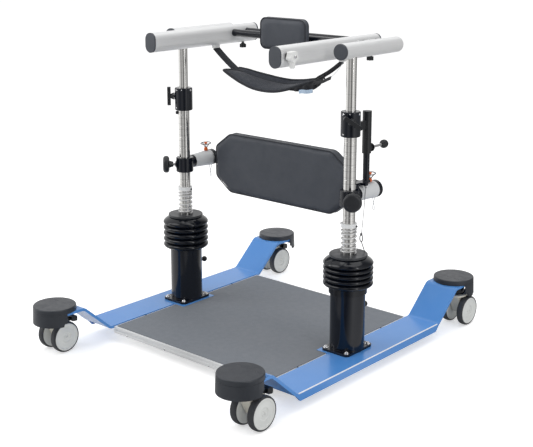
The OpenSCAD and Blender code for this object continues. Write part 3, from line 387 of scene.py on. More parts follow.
def dress_nodes():
    both = [(made, [f"{side}_{name}" for side in SIDES for name in names]) for made, names in SIDE_FINISHES]
    for made, names in (*NODE_FINISHES, *both):
        for name in names:
            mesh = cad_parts[name].data
            mesh.materials.clear()
            mesh.materials.append(made.material)


# Shapes, each a list of points and a list of faces


def skin(rings, closed=False):
    """A surface through rings of points, with its ends closed unless it runs round on itself."""
    size = len(rings[0])
    count = len(rings)
    points = [Vector(p) for ring in rings for p in ring]
    faces = []
    for i in range(count if closed else count - 1):
        low, high = i * size, (i + 1) % count * size
        faces += [(low + k, low + (k + 1) % size, high + (k + 1) % size, high + k) for k in range(size)]
    if not closed:
        faces += [tuple(range(size)), tuple(range((count - 1) * size, count * size))]
    return points, faces


def turned(profile, steps=56, closed=False):
    """A profile of radius and height, turned about Z."""
    angles = [2 * math.pi * k / steps for k in range(steps)]
    return skin([[(r * math.cos(a), r * math.sin(a), h) for a in angles] for r, h in profile], closed)


def swept(path, section, across=None, closed=False):
    """A section of points across and up, carried along a path."""
    path = [Vector(p) for p in path]
    last = len(path) - 1
    across = Vector(across) if across else (path[1] - path[0]).orthogonal()
    rings = []
    for i, at in enumerate(path):
        before = path[i - 1] if i or closed else path[0]
        after = path[(i + 1) % len(path)] if i < last or closed else path[last]
        along = (after - before).normalized()
        across = (across - along * across.dot(along)).normalized()
        up = along.cross(across)
        rings.append([at + across * a + up * b for a, b in section])
    return skin(rings, closed)


def circle(radius, steps=12):
    return [(radius * math.cos(2 * math.pi * k / steps), radius * math.sin(2 * math.pi * k / steps))
            for k in range(steps)]


def curved(before, corner, after, steps):
    """The points that take the place of a corner, which may carry a radius as its third number."""
    at = Vector(corner[:2])
    if len(corner) < 3:
        return [at]
    back = Vector(before[:2]) - at
    ahead = Vector(after[:2]) - at
    first = at + back.normalized() * min(corner[2], back.length / 2)
    last = at + ahead.normalized() * min(corner[2], ahead.length / 2)
    places = [k / steps for k in range(steps + 1)]
    return [(1 - t) ** 2 * first + 2 * t * (1 - t) * at + t * t * last for t in places]


def line(corners, steps=4):
    """An open line of points with its corners rounded."""
    inner = [p for three in zip(corners, corners[1:], corners[2:]) for p in curved(*three, steps)]
    return [Vector(corners[0][:2]), *inner, Vector(corners[-1][:2])]


def loop(corners, steps=4):
    """A closed line of points with its corners rounded."""
    before = corners[-1:] + corners[:-1]
    after = corners[1:] + corners[:1]
    return [p for three in zip(before, corners, after) for p in curved(*three, steps)]


def placed(shape, at, along=UP, turn=0.0):
    """Moves a shape to a place, with its Z pointing along a direction."""
    tip = UP.rotation_difference(Vector(along))
    at = Vector(at)
    spin = math.cos(turn), math.sin(turn)
    points = [Vector((p.x * spin[0] - p.y * spin[1], p.x * spin[1] + p.y * spin[0], p.z)) for p in shape[0]]
    return [tip @ p + at for p in points], shape[1]


def merged(*shapes):
    points, faces = [], []
    for more_points, more_faces in shapes:
        faces += [tuple(k + len(points) for k in face) for face in more_faces]
        points += more_points
    return points, faces


def screw(at, along, size):
    """A round screw head with a socket."""
    head = size * 0.45
    corners = [(size * 0.22, head * 0.4), (size * 0.24, head), (size * 0.4, head, size * 0.12),
               (size * 0.5, head * 0.45, size * 0.1), (size * 0.5, -head * 0.2)]
    return placed(turned(line(corners), 20), at, along)


def piece(name, shape, finish, body, replaces=(), sharp=38):
    """Makes an object of a shape, dresses it and lets it ride on a body, if one is given."""
    points, faces = shape
    mesh = bpy.data.meshes.new(name)
    mesh.from_pydata(points, [], faces)
    tidy = bmesh.new()
    tidy.from_mesh(mesh)
    bmesh.ops.recalc_face_normals(tidy, faces=tidy.faces)
    tidy.to_mesh(mesh)
    tidy.free()
    mesh.materials.append(finish.material)
    mesh.shade_smooth()
    mesh.set_sharp_from_angle(angle=math.radians(sharp))
    made = bpy.data.objects.new(name, mesh)
    scene.collection.objects.link(made)
    if body:
        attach(made, body)
    if replaces:
        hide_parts(*replaces)
    return made


def add_cord(name, path, radius, across, finish, body, replaces=()):
    """A cord along a path, from one place on the object to another."""
    made = piece(name, swept(path, circle(radius, 8), across), finish, body, replaces)
    return made


def applied(made):
    """Replaces a piece's mesh by what its modifiers make of it."""
    bpy.context.view_layer.update()
    seen = made.evaluated_get(bpy.context.evaluated_depsgraph_get())
    mesh = bpy.data.meshes.new_from_object(seen)
    made.modifiers.clear()
    made.data = mesh
    mesh.shade_smooth()


# Camera, light and floor. The mirrored levels each have an angle to the right of the camera

IMAGE_WIDTH = 533
FOCAL_PX = 1086.0
SHIFT_PX = 60
CAMERA_PLACE = (2.329, -2.6355, 1.3984)
CAMERA_TURN = 41.21
CAMERA_TILT = 12.658
AMBIENT = 0.66
FLOOR_GLOW = 0.48
FLOOR_HALF = 30.0
MIRROR_START = -131.3
MIRRORED = ((MIRROR_START, 0.95), (-112, 1.0), (-88, 0.85), (-66, 0.4), (-48, 0.2), (-30, 0.5), (-14, 0.5),
            (-3, 0.22), (6, 0.04), (14, 0.14), (24, 0.4), (37, 0.95), (50, 0.8), (75, 0.5), (100, 0.3),
            (125, 0.2), (150, 0.8), (180, 1.0), (MIRROR_START + 360, 0.95))


def add_camera():
    data = bpy.data.cameras.new("camera")
    data.lens = FOCAL_PX * data.sensor_width / IMAGE_WIDTH
    data.shift_y = -SHIFT_PX / IMAGE_WIDTH
    camera = bpy.data.objects.new("camera", data)
    camera.location = CAMERA_PLACE
    camera.rotation_euler = (math.radians(90 - CAMERA_TILT), 0, math.radians(CAMERA_TURN))
    scene.collection.objects.link(camera)
    scene.camera = camera


def strips(tree, place):
    """The level that glossy surfaces mirror: dark upright strips between white walls, each at its angle to the
    right of the camera."""
    angle = node(tree, "ShaderNodeTexGradient", {"Vector": place}, gradient_type="RADIAL").outputs["Fac"]
    walls = node(tree, "ShaderNodeValToRGB", {"Fac": angle})
    stops = walls.color_ramp.elements
    while len(stops) < len(MIRRORED):
        stops.new(0.5)
    for stop, (turn, level) in zip(stops, MIRRORED):
        stop.position = (turn - MIRROR_START) / 360
        stop.color = (level, level, level, 1)
    return walls.outputs["Color"]


def add_world():
    """A white studio."""
    world = bpy.data.worlds.new("studio")
    world.use_nodes = True
    tree = world.node_tree
    light = node(tree, "ShaderNodeLightPath").outputs
    walls = strips(tree, node(tree, "ShaderNodeTexCoord").outputs["Generated"])
    seen = calc(tree, "MAXIMUM", light["Is Camera Ray"], light["Is Transmission Ray"])
    level = calc(tree, "MAXIMUM", seen, AMBIENT)
    part = calc(tree, "MULTIPLY", light["Is Glossy Ray"], calc(tree, "SUBTRACT", walls, level))
    put(tree.nodes["Background"].inputs["Strength"], calc(tree, "ADD", level, part))
    put(tree.nodes["Background"].inputs["Color"], (1, 1, 1, 1))
    scene.world = world


def add_lamp(name, place, target, size, energy, height=0.0):
    """A round soft light, or an upright strip where a height is given."""
    data = bpy.data.lights.new(name, "AREA")
    data.shape = "RECTANGLE" if height else "DISK"
    data.size = size
    if height:
        data.size_y = height
    data.energy = energy
    lamp = bpy.data.objects.new(name, data)
    lamp.location = place
    lamp.rotation_euler = (Vector(target) - Vector(place)).to_track_quat("-Z", "Y").to_euler()
    scene.collection.objects.link(lamp)


def add_floor():
    floor = Finish("floor_white", (0.88, 0.88, 0.88), 0.9)
    tree = floor.tree
    floor.uneven(floor.noise(4, 2), 0.85, 0.95)
    light = node(tree, "ShaderNodeLightPath").outputs
    glossy = light["Is Glossy Ray"]
    floor.tint(glossy, (0, 0, 0))
    floor.set("Emission Color", (1, 1, 1, 1))
    seen = calc(tree, "MULTIPLY", light["Is Camera Ray"], FLOOR_GLOW)
    mirrored = calc(tree, "MULTIPLY", glossy, strips(tree, floor.place))
    floor.set("Emission Strength", calc(tree, "ADD", seen, mirrored))
    corners = [(FLOOR_HALF * x, FLOOR_HALF * y, 0) for x, y in ((-1, -1), (1, -1), (1, 1), (-1, 1))]
    mesh = bpy.data.meshes.new("floor")
    mesh.from_pydata(corners, [], [(0, 1, 2, 3)])
    mesh.materials.append(floor.material)
    made = bpy.data.objects.new("floor", mesh)
    scene.collection.objects.link(made)


# Wheels

WHEEL_WIDTH = 0.024
TYRE_DEPTH = 0.0058
AXLE_R = 0.005


def tyre_shape(radius, rim, width):
    half = width / 2
    corners = [(rim, -half * 0.92), (radius - 0.0028, -half, 0.002), (radius, -half * 0.55, 0.004),
               (radius, half * 0.55, 0.004), (radius - 0.0028, half, 0.002), (rim, half * 0.92),
               (rim - 0.003, half * 0.5), (rim - 0.003, -half * 0.5)]
    return turned(loop(corners), 72, True)


def disc_shape(rim, width):
    """A wheel disc with a raised rim, a shallow dish and a stepped middle, seen from its outer side."""
    half = width / 2
    corners = [(0.0035, half - 0.0045), (0.004, half - 0.002), (0.0075, half - 0.002, 0.001),
               (0.0085, half - 0.0042), (0.0165, half - 0.0042), (0.018, half - 0.0016, 0.0015),
               (0.0205, half - 0.0014, 0.001), (rim * 0.66, half - 0.0034, 0.005),
               (rim * 0.84, half - 0.0034, 0.002), (rim * 0.87, half - 0.001, 0.001),
               (rim * 0.97, half - 0.0003, 0.001), (rim, half - 0.0015, 0.001), (rim, -half + 0.001),
               (0.02, -half + 0.002)]
    return turned(line(corners), 72)


def add_wheels():
    for corner in CORNERS:
        low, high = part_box("wheels_" + corner)
        middle = (low + high) / 2
        radius = (high.z - low.z) / 2
        rim = radius - TYRE_DEPTH
        out = high.x - middle.x - WHEEL_WIDTH / 2
        ways = [(Vector((way, 0, 0)), middle + Vector((way * out, 0, 0))) for way in (-1, 1)]
        body = corner + "_wheels"
        tyres = [placed(tyre_shape(radius, rim, WHEEL_WIDTH), at, way) for way, at in ways]
        piece("tyres_" + corner, merged(*tyres), TYRE, body, ["wheels_" + corner])
        discs = [placed(disc_shape(rim - 0.0002, WHEEL_WIDTH), at, way) for way, at in ways]
        discs.append(placed(turned([(AXLE_R, -0.02), (AXLE_R, 0.02)], 24), middle, (1, 0, 0)))
        end = turned(line([(0.0, 0.0022), (0.0022, 0.0022, 0.0006), (0.003, 0.001), (0.003, -0.003)]), 20)
        discs += [placed(end, at + way * (WHEEL_WIDTH / 2 - 0.0045), way) for way, at in ways]
        piece("discs_" + corner, merged(*discs), DISC, body)


# Bellows and springs

BELLOWS_FOOT = 0.246
BELLOWS_HEAD = 0.3646
FIRST_RIDGE = {"left": 0.262, "right": 0.279}
LAST_RIDGE = 0.345
RIDGES = 5
RIDGE_RISE = 0.011
RIDGE_R = 0.080
VALLEY_R = 0.0685
CUFF_R = 0.061
HEAD_DRAW = 0.0225
BELLOWS_WALL = 0.0025
SPRING_TURNS = 6.5
SPRING_WIRE_R = 0.0026
SPRING_R = 0.0233
SPRING_STEPS = 182


def bellows_radius(z, first):
    """Ridges with creases between them; the first rises from a cuff, the last runs in to the plate."""
    if z > LAST_RIDGE:
        t = min(1, (z - LAST_RIDGE) / (BELLOWS_HEAD - LAST_RIDGE))
        return RIDGE_R - HEAD_DRAW * t ** 1.7
    if z < first:
        t = (first - z) / RIDGE_RISE
        return CUFF_R + (RIDGE_R - CUFF_R) * math.sqrt(max(0, 1 - t * t))
    step = (LAST_RIDGE - first) / (RIDGES - 1)
    share = abs(((z - first) / step + 0.5) % 1 - 0.5) * 2
    return VALLEY_R + (RIDGE_R - VALLEY_R) * (1 - share * share) ** 0.75


def bellows_part(side, low, high):
    count = 96
    heights = [low + (high - low) * k / count for k in range(count + 1)]
    first = FIRST_RIDGE[side]
    outside = [(bellows_radius(z, first), z) for z in heights]
    inside = [(radius - BELLOWS_WALL, z) for radius, z in reversed(outside)]
    return placed(turned(outside + inside, 72, True), (SIDES[side] * COLUMN_X, 0, 0))


def add_bellows():
    """Each bellows is two pieces that meet in a crease near the pivots."""
    for side, way in SIDES.items():
        crease = FIRST_RIDGE[side] + (LAST_RIDGE - FIRST_RIDGE[side]) * 2.5 / (RIDGES - 1)
        lower = piece(f"{side}_bellows_lower", bellows_part(side, BELLOWS_FOOT, crease), BELLOWS, None,
                      ["bellows"], 60)
        upper = piece(f"{side}_bellows_upper", bellows_part(side, crease, BELLOWS_HEAD), BELLOWS, None,
                      (), 60)
        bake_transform(lower)
        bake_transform(upper)


def add_springs():
    """Smooth springs whose end turns close up and are ground flat."""
    for side in SIDES:
        low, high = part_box(f"{side}_spring")
        middle = (low + high) / 2
        path = []
        for t in (k / SPRING_STEPS for k in range(SPRING_STEPS + 1)):
            eased = t + 0.35 * math.sin(2 * math.pi * t) / (2 * math.pi)
            z = low.z + SPRING_WIRE_R + (high.z - low.z - 2 * SPRING_WIRE_R) * (2 * t - eased)
            angle = 2 * math.pi * SPRING_TURNS * t
            path.append((middle.x + SPRING_R * math.cos(angle), SPRING_R * math.sin(angle), z))
        piece(f"{side}_spring_coil", swept(path, circle(SPRING_WIRE_R, 10), (1, 0, 0)), SPRING, f"{side}_column",
              [f"{side}_spring"])


# Pads. Each ring has its inset and its share of the depth, and so has each welt, with its finish

PAD_RINGS = ((0.005, 0), (0.001, 0.1), (0, 0.3), (0, 0.72), (0.001, 0.86), (0.004, 0.95), (0.010, 1.0))
# The second welt is dark piping whose darkness is also painted shade along the pads' edges.
PAD_WELTS = ((0.0008, 0.28, LEATHER), (0.0012, 0.88, PIPING_AND_SHADE))
PAD_MARGIN = 0.002
WELT_R = 0.0019


def pad_rings(outline, low, high, back, depth):
    """Rings of a pad's outline from its back to its crowned front."""
    middle = ((low[0] + high[0]) / 2, (low[1] + high[1]) / 2)
    half = (high[0] - low[0]) / 2, (high[1] - low[1]) / 2
    rings = []
    for inset, share in PAD_RINGS:
        rings.append([(middle[0] + (x - middle[0]) * (1 - inset / half[0]), back - depth * share,
                       middle[1] + (z - middle[1]) * (1 - inset / half[1])) for x, z in outline])
    return rings


def inflate(made, along, free, cap, voxel=0.005, pressure=4.0):
    """Swells a piece along one direction with a cloth simulation, as far as a share for each point and a cap let
    it. Its outline, which is sewn, stays."""
    finishes = list(made.data.materials)
    remesh = made.modifiers.new("remesh", "REMESH")
    remesh.mode = "VOXEL"
    remesh.voxel_size = voxel
    applied(made)
    start = [v.co.copy() for v in made.data.vertices]
    cloth = made.modifiers.new("cloth", "CLOTH")
    cloth.settings.use_pressure = True
    cloth.settings.uniform_pressure_force = pressure
    cloth.settings.effector_weights.gravity = 0
    for step in range(1, 21):
        scene.frame_set(step)
    applied(made)
    for vertex, rest in zip(made.data.vertices, start):
        move = (vertex.co - rest).dot(along) * free(rest)
        vertex.co = rest + along * max(-cap, min(cap, move))
    scene.frame_set(1)
    smooth = made.modifiers.new("smooth", "SMOOTH")
    smooth.factor = 0.5
    smooth.iterations = 3
    made.modifiers.new("fine", "SUBSURF").levels = 1
    applied(made)
    made.data.materials.clear()
    for finish in finishes:
        made.data.materials.append(finish)


def cut_corners(low, high, cut_x, cut_z, round_by):
    """An upright outline with its corners cut off and rounded."""
    x0, z0, x1, z1 = *low, *high
    corners = [(x1, z0 + cut_z), (x1, z1 - cut_z), (x1 - cut_x, z1), (x0 + cut_x, z1),
               (x0, z1 - cut_z), (x0, z0 + cut_z), (x0 + cut_x, z0), (x1 - cut_x, z0)]
    return loop([(*corner, round_by) for corner in corners], 6)


def add_pad(name, body, cut_x, cut_z, round_by, swell=0.004):
    """A pad that starts thinner than its solid and swells to its size."""
    low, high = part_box(name)
    back, depth = high.y, high.y - low.y - swell
    ends = (low.x + PAD_MARGIN, low.z + PAD_MARGIN), (high.x - PAD_MARGIN, high.z - PAD_MARGIN)
    outline = cut_corners(*ends, cut_x, cut_z, round_by)
    made = piece(name + "_cover", skin(pad_rings(outline, *ends, back, depth)), LEATHER, body,
                 [name])
    inflate(made, Vector((0, 1, 0)), lambda at: max(0.0, min(1.0, (back - at.y) / (depth * 0.5))), swell)
    for inset, share, finish in PAD_WELTS:
        first, last = [c + inset for c in ends[0]], [c - inset for c in ends[1]]
        path = [(x, back - depth * share, z) for x, z in cut_corners(first, last, cut_x, cut_z, round_by)]
        piece(f"{name}_welt_{finish.material.name}", swept(path, circle(WELT_R, 10), (0, 1, 0), True), finish,
              body)


# Sling, between its front and back edges, each from the left end to the right one

SLING_FRONT = ((-0.181, 0.006, 0.907), (-0.145, 0.007, 0.888), (-0.100, 0.008, 0.8695),
               (-0.050, 0.010, 0.8555), (0.0, 0.012, 0.8515), (0.045, 0.018, 0.8545), (0.090, 0.026, 0.866),
               (0.130, 0.037, 0.881), (0.168, 0.054, 0.896))
SLING_BACK = ((-0.180, 0.090, 0.908), (-0.140, 0.093, 0.905), (-0.100, 0.095, 0.8995), (-0.050, 0.097, 0.894),
              (0.0, 0.100, 0.8885), (0.047, 0.103, 0.8865), (0.098, 0.104, 0.8905), (0.140, 0.101, 0.8975),
              (0.174, 0.090, 0.904))
FOLD_AT = 0.76
FOLD_DEPTH = 0.011
SLING_THICK = 0.0075
BINDING_V = 0.040
BINDING_T = 0.008
BINDING_DROP = UP * 0.0027
BINDING_SECTION = [(0.0044 * a, 0.0052 * b) for a, b in circle(1, 12)]
STRAP_Y = {"left": 0.076, "right": 0.069}


def along_points(points, t):
    """A smooth line through points, from 0 at the first to 1 at the last."""
    spot = t * (len(points) - 1)
    first = min(int(spot), len(points) - 2)
    u = spot - first
    p1, p2 = Vector(points[first]), Vector(points[first + 1])
    p0 = Vector(points[first - 1]) if first else 2 * p1 - p2
    p3 = Vector(points[first + 2]) if first + 2 < len(points) else 2 * p2 - p1
    return 0.5 * (2 * p1 + (p2 - p0) * u + (2 * p0 - 5 * p1 + 4 * p2 - p3) * u ** 2
                  + (3 * p1 - 3 * p2 + p3 - p0) * u ** 3)


def sling_surface(t, v):
    """A point of the sling: t runs from left to right and v from the front edge to the back one."""
    front, back = along_points(SLING_FRONT, t), along_points(SLING_BACK, t)
    dip = v / FOLD_AT if v < FOLD_AT else (1 - v) / (1 - FOLD_AT)
    puff = 0.0025 * math.sin(math.pi * min(1, v / FOLD_AT)) if v < FOLD_AT else 0
    return front.lerp(back, v) - UP * (FOLD_DEPTH * dip - puff)


def sling_ring(t):
    shares = [k / 14 for k in range(15)]
    top = [sling_surface(t, v) for v in shares]
    low = [p - UP * SLING_THICK * (1 - abs(2 * v - 1) ** 4 * 0.35) for p, v in zip(top, shares)]
    return top + low[::-1]


def sling_free(at):
    """How freely a point of the sling swells: not at all at its bound edges and its fold."""
    left, right = SLING_FRONT[0][0], SLING_FRONT[-1][0]
    t = max(0.0, min(1.0, (at.x - left) / (right - left)))
    front, back = along_points(SLING_FRONT, t).y, along_points(SLING_BACK, t).y
    v = (at.y - front) / (back - front)
    return max(0.0, min(1.0, 5 * min(v, 1 - v), 12 * min(t, 1 - t), 9 * abs(v - FOLD_AT)))


def tape(points, width, thick, normal):
    """Flat webbing along a line of points; normal is the way its face looks."""
    half, deep = width / 2, thick / 2
    section = loop([(-half, -deep, deep), (half, -deep, deep), (half, deep, deep), (-half, deep, deep)], 2)
    first = Vector(points[1]) - Vector(points[0])
    return swept(points, section, first.cross(Vector(normal)))


def sewn(name, shape, finish, replaces=(), sharp=38):
    """A piece of the sling."""
    return piece("sling_" + name, shape, finish, "bridge", replaces, sharp)


def add_sling():
    places = [k / 72 for k in range(73)]
    band = sewn("band", skin([sling_ring(t) for t in places]), SLING, ["pelvic_sling"])
    inflate(band, UP, sling_free, cap=0.003, voxel=0.004, pressure=2.5)
    edges = [[sling_surface(BINDING_T + (1 - 2 * BINDING_T) * t, v) - BINDING_DROP for t in places]
             for v in (BINDING_V, 1 - BINDING_V)]
    ends = [[sling_surface(t, BINDING_V + (1 - 2 * BINDING_V) * k / 12) - BINDING_DROP for k in range(13)]
            for t in (BINDING_T, 1 - BINDING_T)]
    round_edge = edges[0] + ends[1][1:-1] + edges[1][::-1] + ends[0][::-1][1:-1]
    sewn("binding", swept(round_edge, BINDING_SECTION, (0, 1, 0), True), BINDING)
    fold = [sling_surface(0.02 + 0.72 * k / 40, FOLD_AT) + UP * 0.0022 for k in range(41)]
    sewn("fold_seam", swept(fold, circle(0.0020, 8), (0, 1, 0)), BINDING)
    add_left_strap()
    add_right_strap()


def lug_point(side):
    """The middle of the underside of a handrail's strap lug."""
    low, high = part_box(f"{side}_handrail")
    return Vector(((low.x + high.x) / 2, STRAP_Y[side], low.z))


def add_left_strap():
    top = lug_point("left")
    low = sling_surface(0.035, 0.74)
    inner = sling_surface(0.10, 0.74) + UP * 0.0022
    path = [top.lerp(low, k / 14) - UP * 0.003 * math.sin(math.pi * k / 14) for k in range(14)]
    path += [low + UP * 0.002, low.lerp(inner, 0.5) + UP * 0.001, inner]
    face = (0.3, -0.3, 0.9)
    sewn("strap_left", tape(path, 0.026, 0.0022, face), WEBBING)
    sewn("stitch_left", tape([p + UP * 0.0016 for p in path], 0.0035, 0.0008, face), BINDING)


def add_right_strap():
    """Webbing to the right lug, the black end flap with its tag, whose near-black colour is painted shade for the
    band's shaded underside there, a slide buckle, the strap's tail and a cord.
    """
    top = lug_point("right")
    low = Vector((0.176, 0.080, 0.903))
    path = [top.lerp(low, k / 14) - UP * 0.004 * math.sin(math.pi * k / 14) for k in range(15)]
    path.append(sling_surface(0.96, 0.6))
    sewn("strap_right", tape(path, 0.014, 0.0024, (0.6, -0.75, 0.3)), BLACK_WEBBING)
    # Painted shade: a near-black flap under the band's right end, where the band's underside lies in shadow.
    lower = ((0.078, 0.026, 0.8625), (0.100, 0.028, 0.860), (0.123, 0.030, 0.859), (0.150, 0.034, 0.862),
             (0.178, 0.040, 0.868), (0.196, 0.050, 0.882))
    upper = ((0.082, 0.027, 0.8665), (0.105, 0.034, 0.874), (0.128, 0.041, 0.882), (0.152, 0.050, 0.8915),
             (0.176, 0.060, 0.899), (0.197, 0.064, 0.900))
    rings = []
    for k in range(31):
        a, b = along_points(lower, k / 30), along_points(upper, k / 30)
        wave = 0.0022 * math.sin(9 * k / 30 * math.pi)
        depth = Vector((0, 0.010, 0))
        rings.append([a + Vector((0, wave, 0)), a.lerp(b, 0.5) - Vector((0, 0.004 - wave, 0)), b, b + depth,
                      a.lerp(b, 0.5) + depth * 1.4, a + depth])
    sewn("shaded_flap", skin(rings), BLACK_WEBBING, sharp=60)
    tail = [(0.184, 0.052, 0.890), (0.200, 0.052, 0.893), (0.215, 0.056, 0.899), (0.228, 0.059, 0.906),
            (0.239, 0.060, 0.911)]
    path = [along_points(tail, k / 12) for k in range(13)]
    sewn("tail", tape(path, 0.016, 0.0022, (-0.2, -0.6, 0.7)), BLACK_WEBBING)
    frame_line = loop([(-0.015, -0.010, 0.003), (0.015, -0.010, 0.003), (0.015, 0.010, 0.003),
                       (-0.015, 0.010, 0.003)])
    for k, (place, tip) in enumerate((((0.186, 0.074, 0.9055), (-0.45, -0.2, 0.85)),
                                      ((0.200, 0.058, 0.895), (-0.3, -0.6, 0.7)))):
        bar = placed(([Vector((x, y, 0)) for x, y in frame_line], []), place, tip, 0.4)[0]
        piece(f"sling_buckle_{k + 1}", swept(bar, circle(0.002, 8), tip, True), KNOB, "bridge")
    add_tag()
    start = top + Vector((0.0065, -0.002, 0.002))
    end = Vector((0.2385, 0.060, 0.9125))
    line_points = [start.lerp(end, k / 16) - UP * 0.005 * math.sin(math.pi * k / 16) for k in range(17)]
    add_cord("sling_cord", line_points, 0.0008, (0, 1, 0), CORD, "bridge")


def add_tag():
    """A plain pale tag that is folded over the black flap's lower edge."""
    rows = []
    for k in range(13):
        a = k / 12
        x, y = 0.136 + 0.048 * a, 0.0262 + 0.010 * a * a
        z = 0.8655 + 0.006 * a + 0.001 * math.sin(7 * a)
        ripple = 0.0012 * math.sin(11 * a)
        rows.append([(x, y, z), (x + 0.001, y - 0.0015 + ripple, z - 0.006),
                     (x + 0.001, y - 0.001 + ripple, z - 0.012), (x + 0.001, y + 0.0015 + ripple, z - 0.0115),
                     (x, y + 0.0015, z - 0.001)])
    sewn("tag", skin(rows), TAG, sharp=60)


# Small hardware

DIAGONAL = math.sqrt(0.5)
FLANGE_TOP = 0.0642
FLANGE_SCREWS = [(sx * 0.041, sy * 0.056) for sx in (-1, 1) for sy in (-1, 1)]
CLAMP_R = 0.0306
# Each clamp screw has its angle, height and size; the small one at -58 degrees is a painted highlight on the
# clamp's top edge.
CLAMP_SCREWS_AND_GLINT = ((-98, 0.8195, 0.0068), (-58, 0.8215, 0.0045), (4, 0.8195, 0.0068), (-98, 0.757, 0.006))
KNEE_Z = 0.558
KNEE_KNOB_Z = 0.553
CONE_MOUTH_Y = 0.039
CONE_RIM_Y = 0.124
CONE_BORE_R = 0.0203
PIN_Y = 0.10725
PIN_HEAD_Z = 0.5865
KEY_RING_Z = PIN_HEAD_Z + 0.0255
KEY_RING_R = 0.0176
LANYARD_EXIT = (0.1245, 0.5298)
LANYARD_DROP = 0.043
GUIDE_Z = 0.697
LEVER_PLACE = Vector((0.300, -0.226, 1.011))
TETHER_TOP = Vector((COLUMN_X + 0.026, 0.050, 0.5868))
TETHER_LOW = Vector((COLUMN_X + 0.0225, 0.036, 0.4290))
TETHER_END = Vector((COLUMN_X + 0.030, 0.0455, 0.3736))
BUTTON_Z = 0.738
BUTTON_FACE = Vector((-0.754, -0.657, 0))


def outward(way):
    """The direction of a clamp's handle or knob."""
    return Vector((way * DIAGONAL, -DIAGONAL, 0))


def knurled(radius, height, teeth=24):
    """A short turned piece with fine teeth round it."""
    steps = teeth * 4
    angles = [2 * math.pi * k / steps for k in range(steps)]
    rings = []
    for share, grow in ((0, 0.9), (0.1, 1.0), (0.9, 1.0), (1.0, 0.9)):
        rings.append([((radius * grow + 0.0004 * (k % 4 < 2)) * math.cos(a),
                       (radius * grow + 0.0004 * (k % 4 < 2)) * math.sin(a), height * share)
                      for k, a in enumerate(angles)])
    return skin(rings)


def sleeve(radius, start, end, along, steps=28):
    """A tube stub with eased rims from one distance to another along a direction."""
    ease = 0.0006
    profile = [(radius - ease, start), (radius, start + ease), (radius, end - ease), (radius - ease, end)]
    return placed(turned(profile, steps), (0, 0, 0), along)


def moved(shape, by):
    return [p + Vector(by) for p in shape[0]], shape[1]


def add_flange_screws():
    for side, way in SIDES.items():
        places = [(way * COLUMN_X + x, y, FLANGE_TOP) for x, y in FLANGE_SCREWS]
        heads = [screw(at, UP, 0.0125) for at in places]
        washer = turned(line([(0.003, 0.0008), (0.0085, 0.0008, 0.0004), (0.0088, -0.0004)]), 24)
        washers = [placed(washer, at) for at in places]
        piece(f"{side}_flange_screws", merged(*heads, *washers), BRIGHT, "base")


def add_clamp_hardware():
    """Screws round the mast clamps, the smallest of them a bright head that is a painted highlight on the clamp's
    top edge, the knee knobs' studs, and the set screws in the spring collars.
    """
    for side, way in SIDES.items():
        column = Vector((way * COLUMN_X, 0, 0))
        heads = []
        for angle, z, size in CLAMP_SCREWS_AND_GLINT:
            face = Vector((math.cos(math.radians(angle)), math.sin(math.radians(angle)), 0))
            heads.append(screw(column + face * CLAMP_R + UP * z, face, size))
        piece(f"{side}_clamp_screws", merged(*heads), BRIGHT, f"{side}_column")
        knob = column + UP * KNEE_KNOB_Z
        stud = moved(sleeve(0.0054, 0.0318, 0.0410, outward(way)), knob)
        nut = moved(sleeve(0.0085, 0.0322, 0.0352, outward(way), 6), knob)
        piece(f"{side}_knee_stud", merged(stud, nut), BRIGHT, f"{side}_knee_knob_body")
        low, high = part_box(f"{side}_spring_collar")
        middle = (low.z + high.z) / 2
        grubs = [screw((x, 0, middle), (end, 0, 0), 0.007) for x, end in ((low.x, -1), (high.x, 1))]
        piece(f"{side}_collar_screws", merged(*grubs), KNOB, f"{side}_column")


def add_cones():
    """The cones that turn on the knee clamps' stubs, each with a rounded mouth and a rim at its bracket."""
    mouth, rim, bore = CONE_MOUTH_Y, CONE_RIM_Y, CONE_BORE_R
    corners = [(bore, mouth + 0.002), (0.0222, mouth, 0.0015), (0.0232, mouth + 0.003, 0.002),
               (0.0270, rim - 0.012), (0.0281, rim - 0.010, 0.001), (0.0281, rim - 0.0006, 0.0005),
               (bore, rim - 0.0006)]
    cone = turned(loop(corners), 64, True)
    cones = [placed(cone, (way * COLUMN_X, 0, KNEE_Z), (0, 1, 0)) for way in SIDES.values()]
    piece("knee_cones", merged(*cones), CONE, "knee_support", ["knee_swivels"])


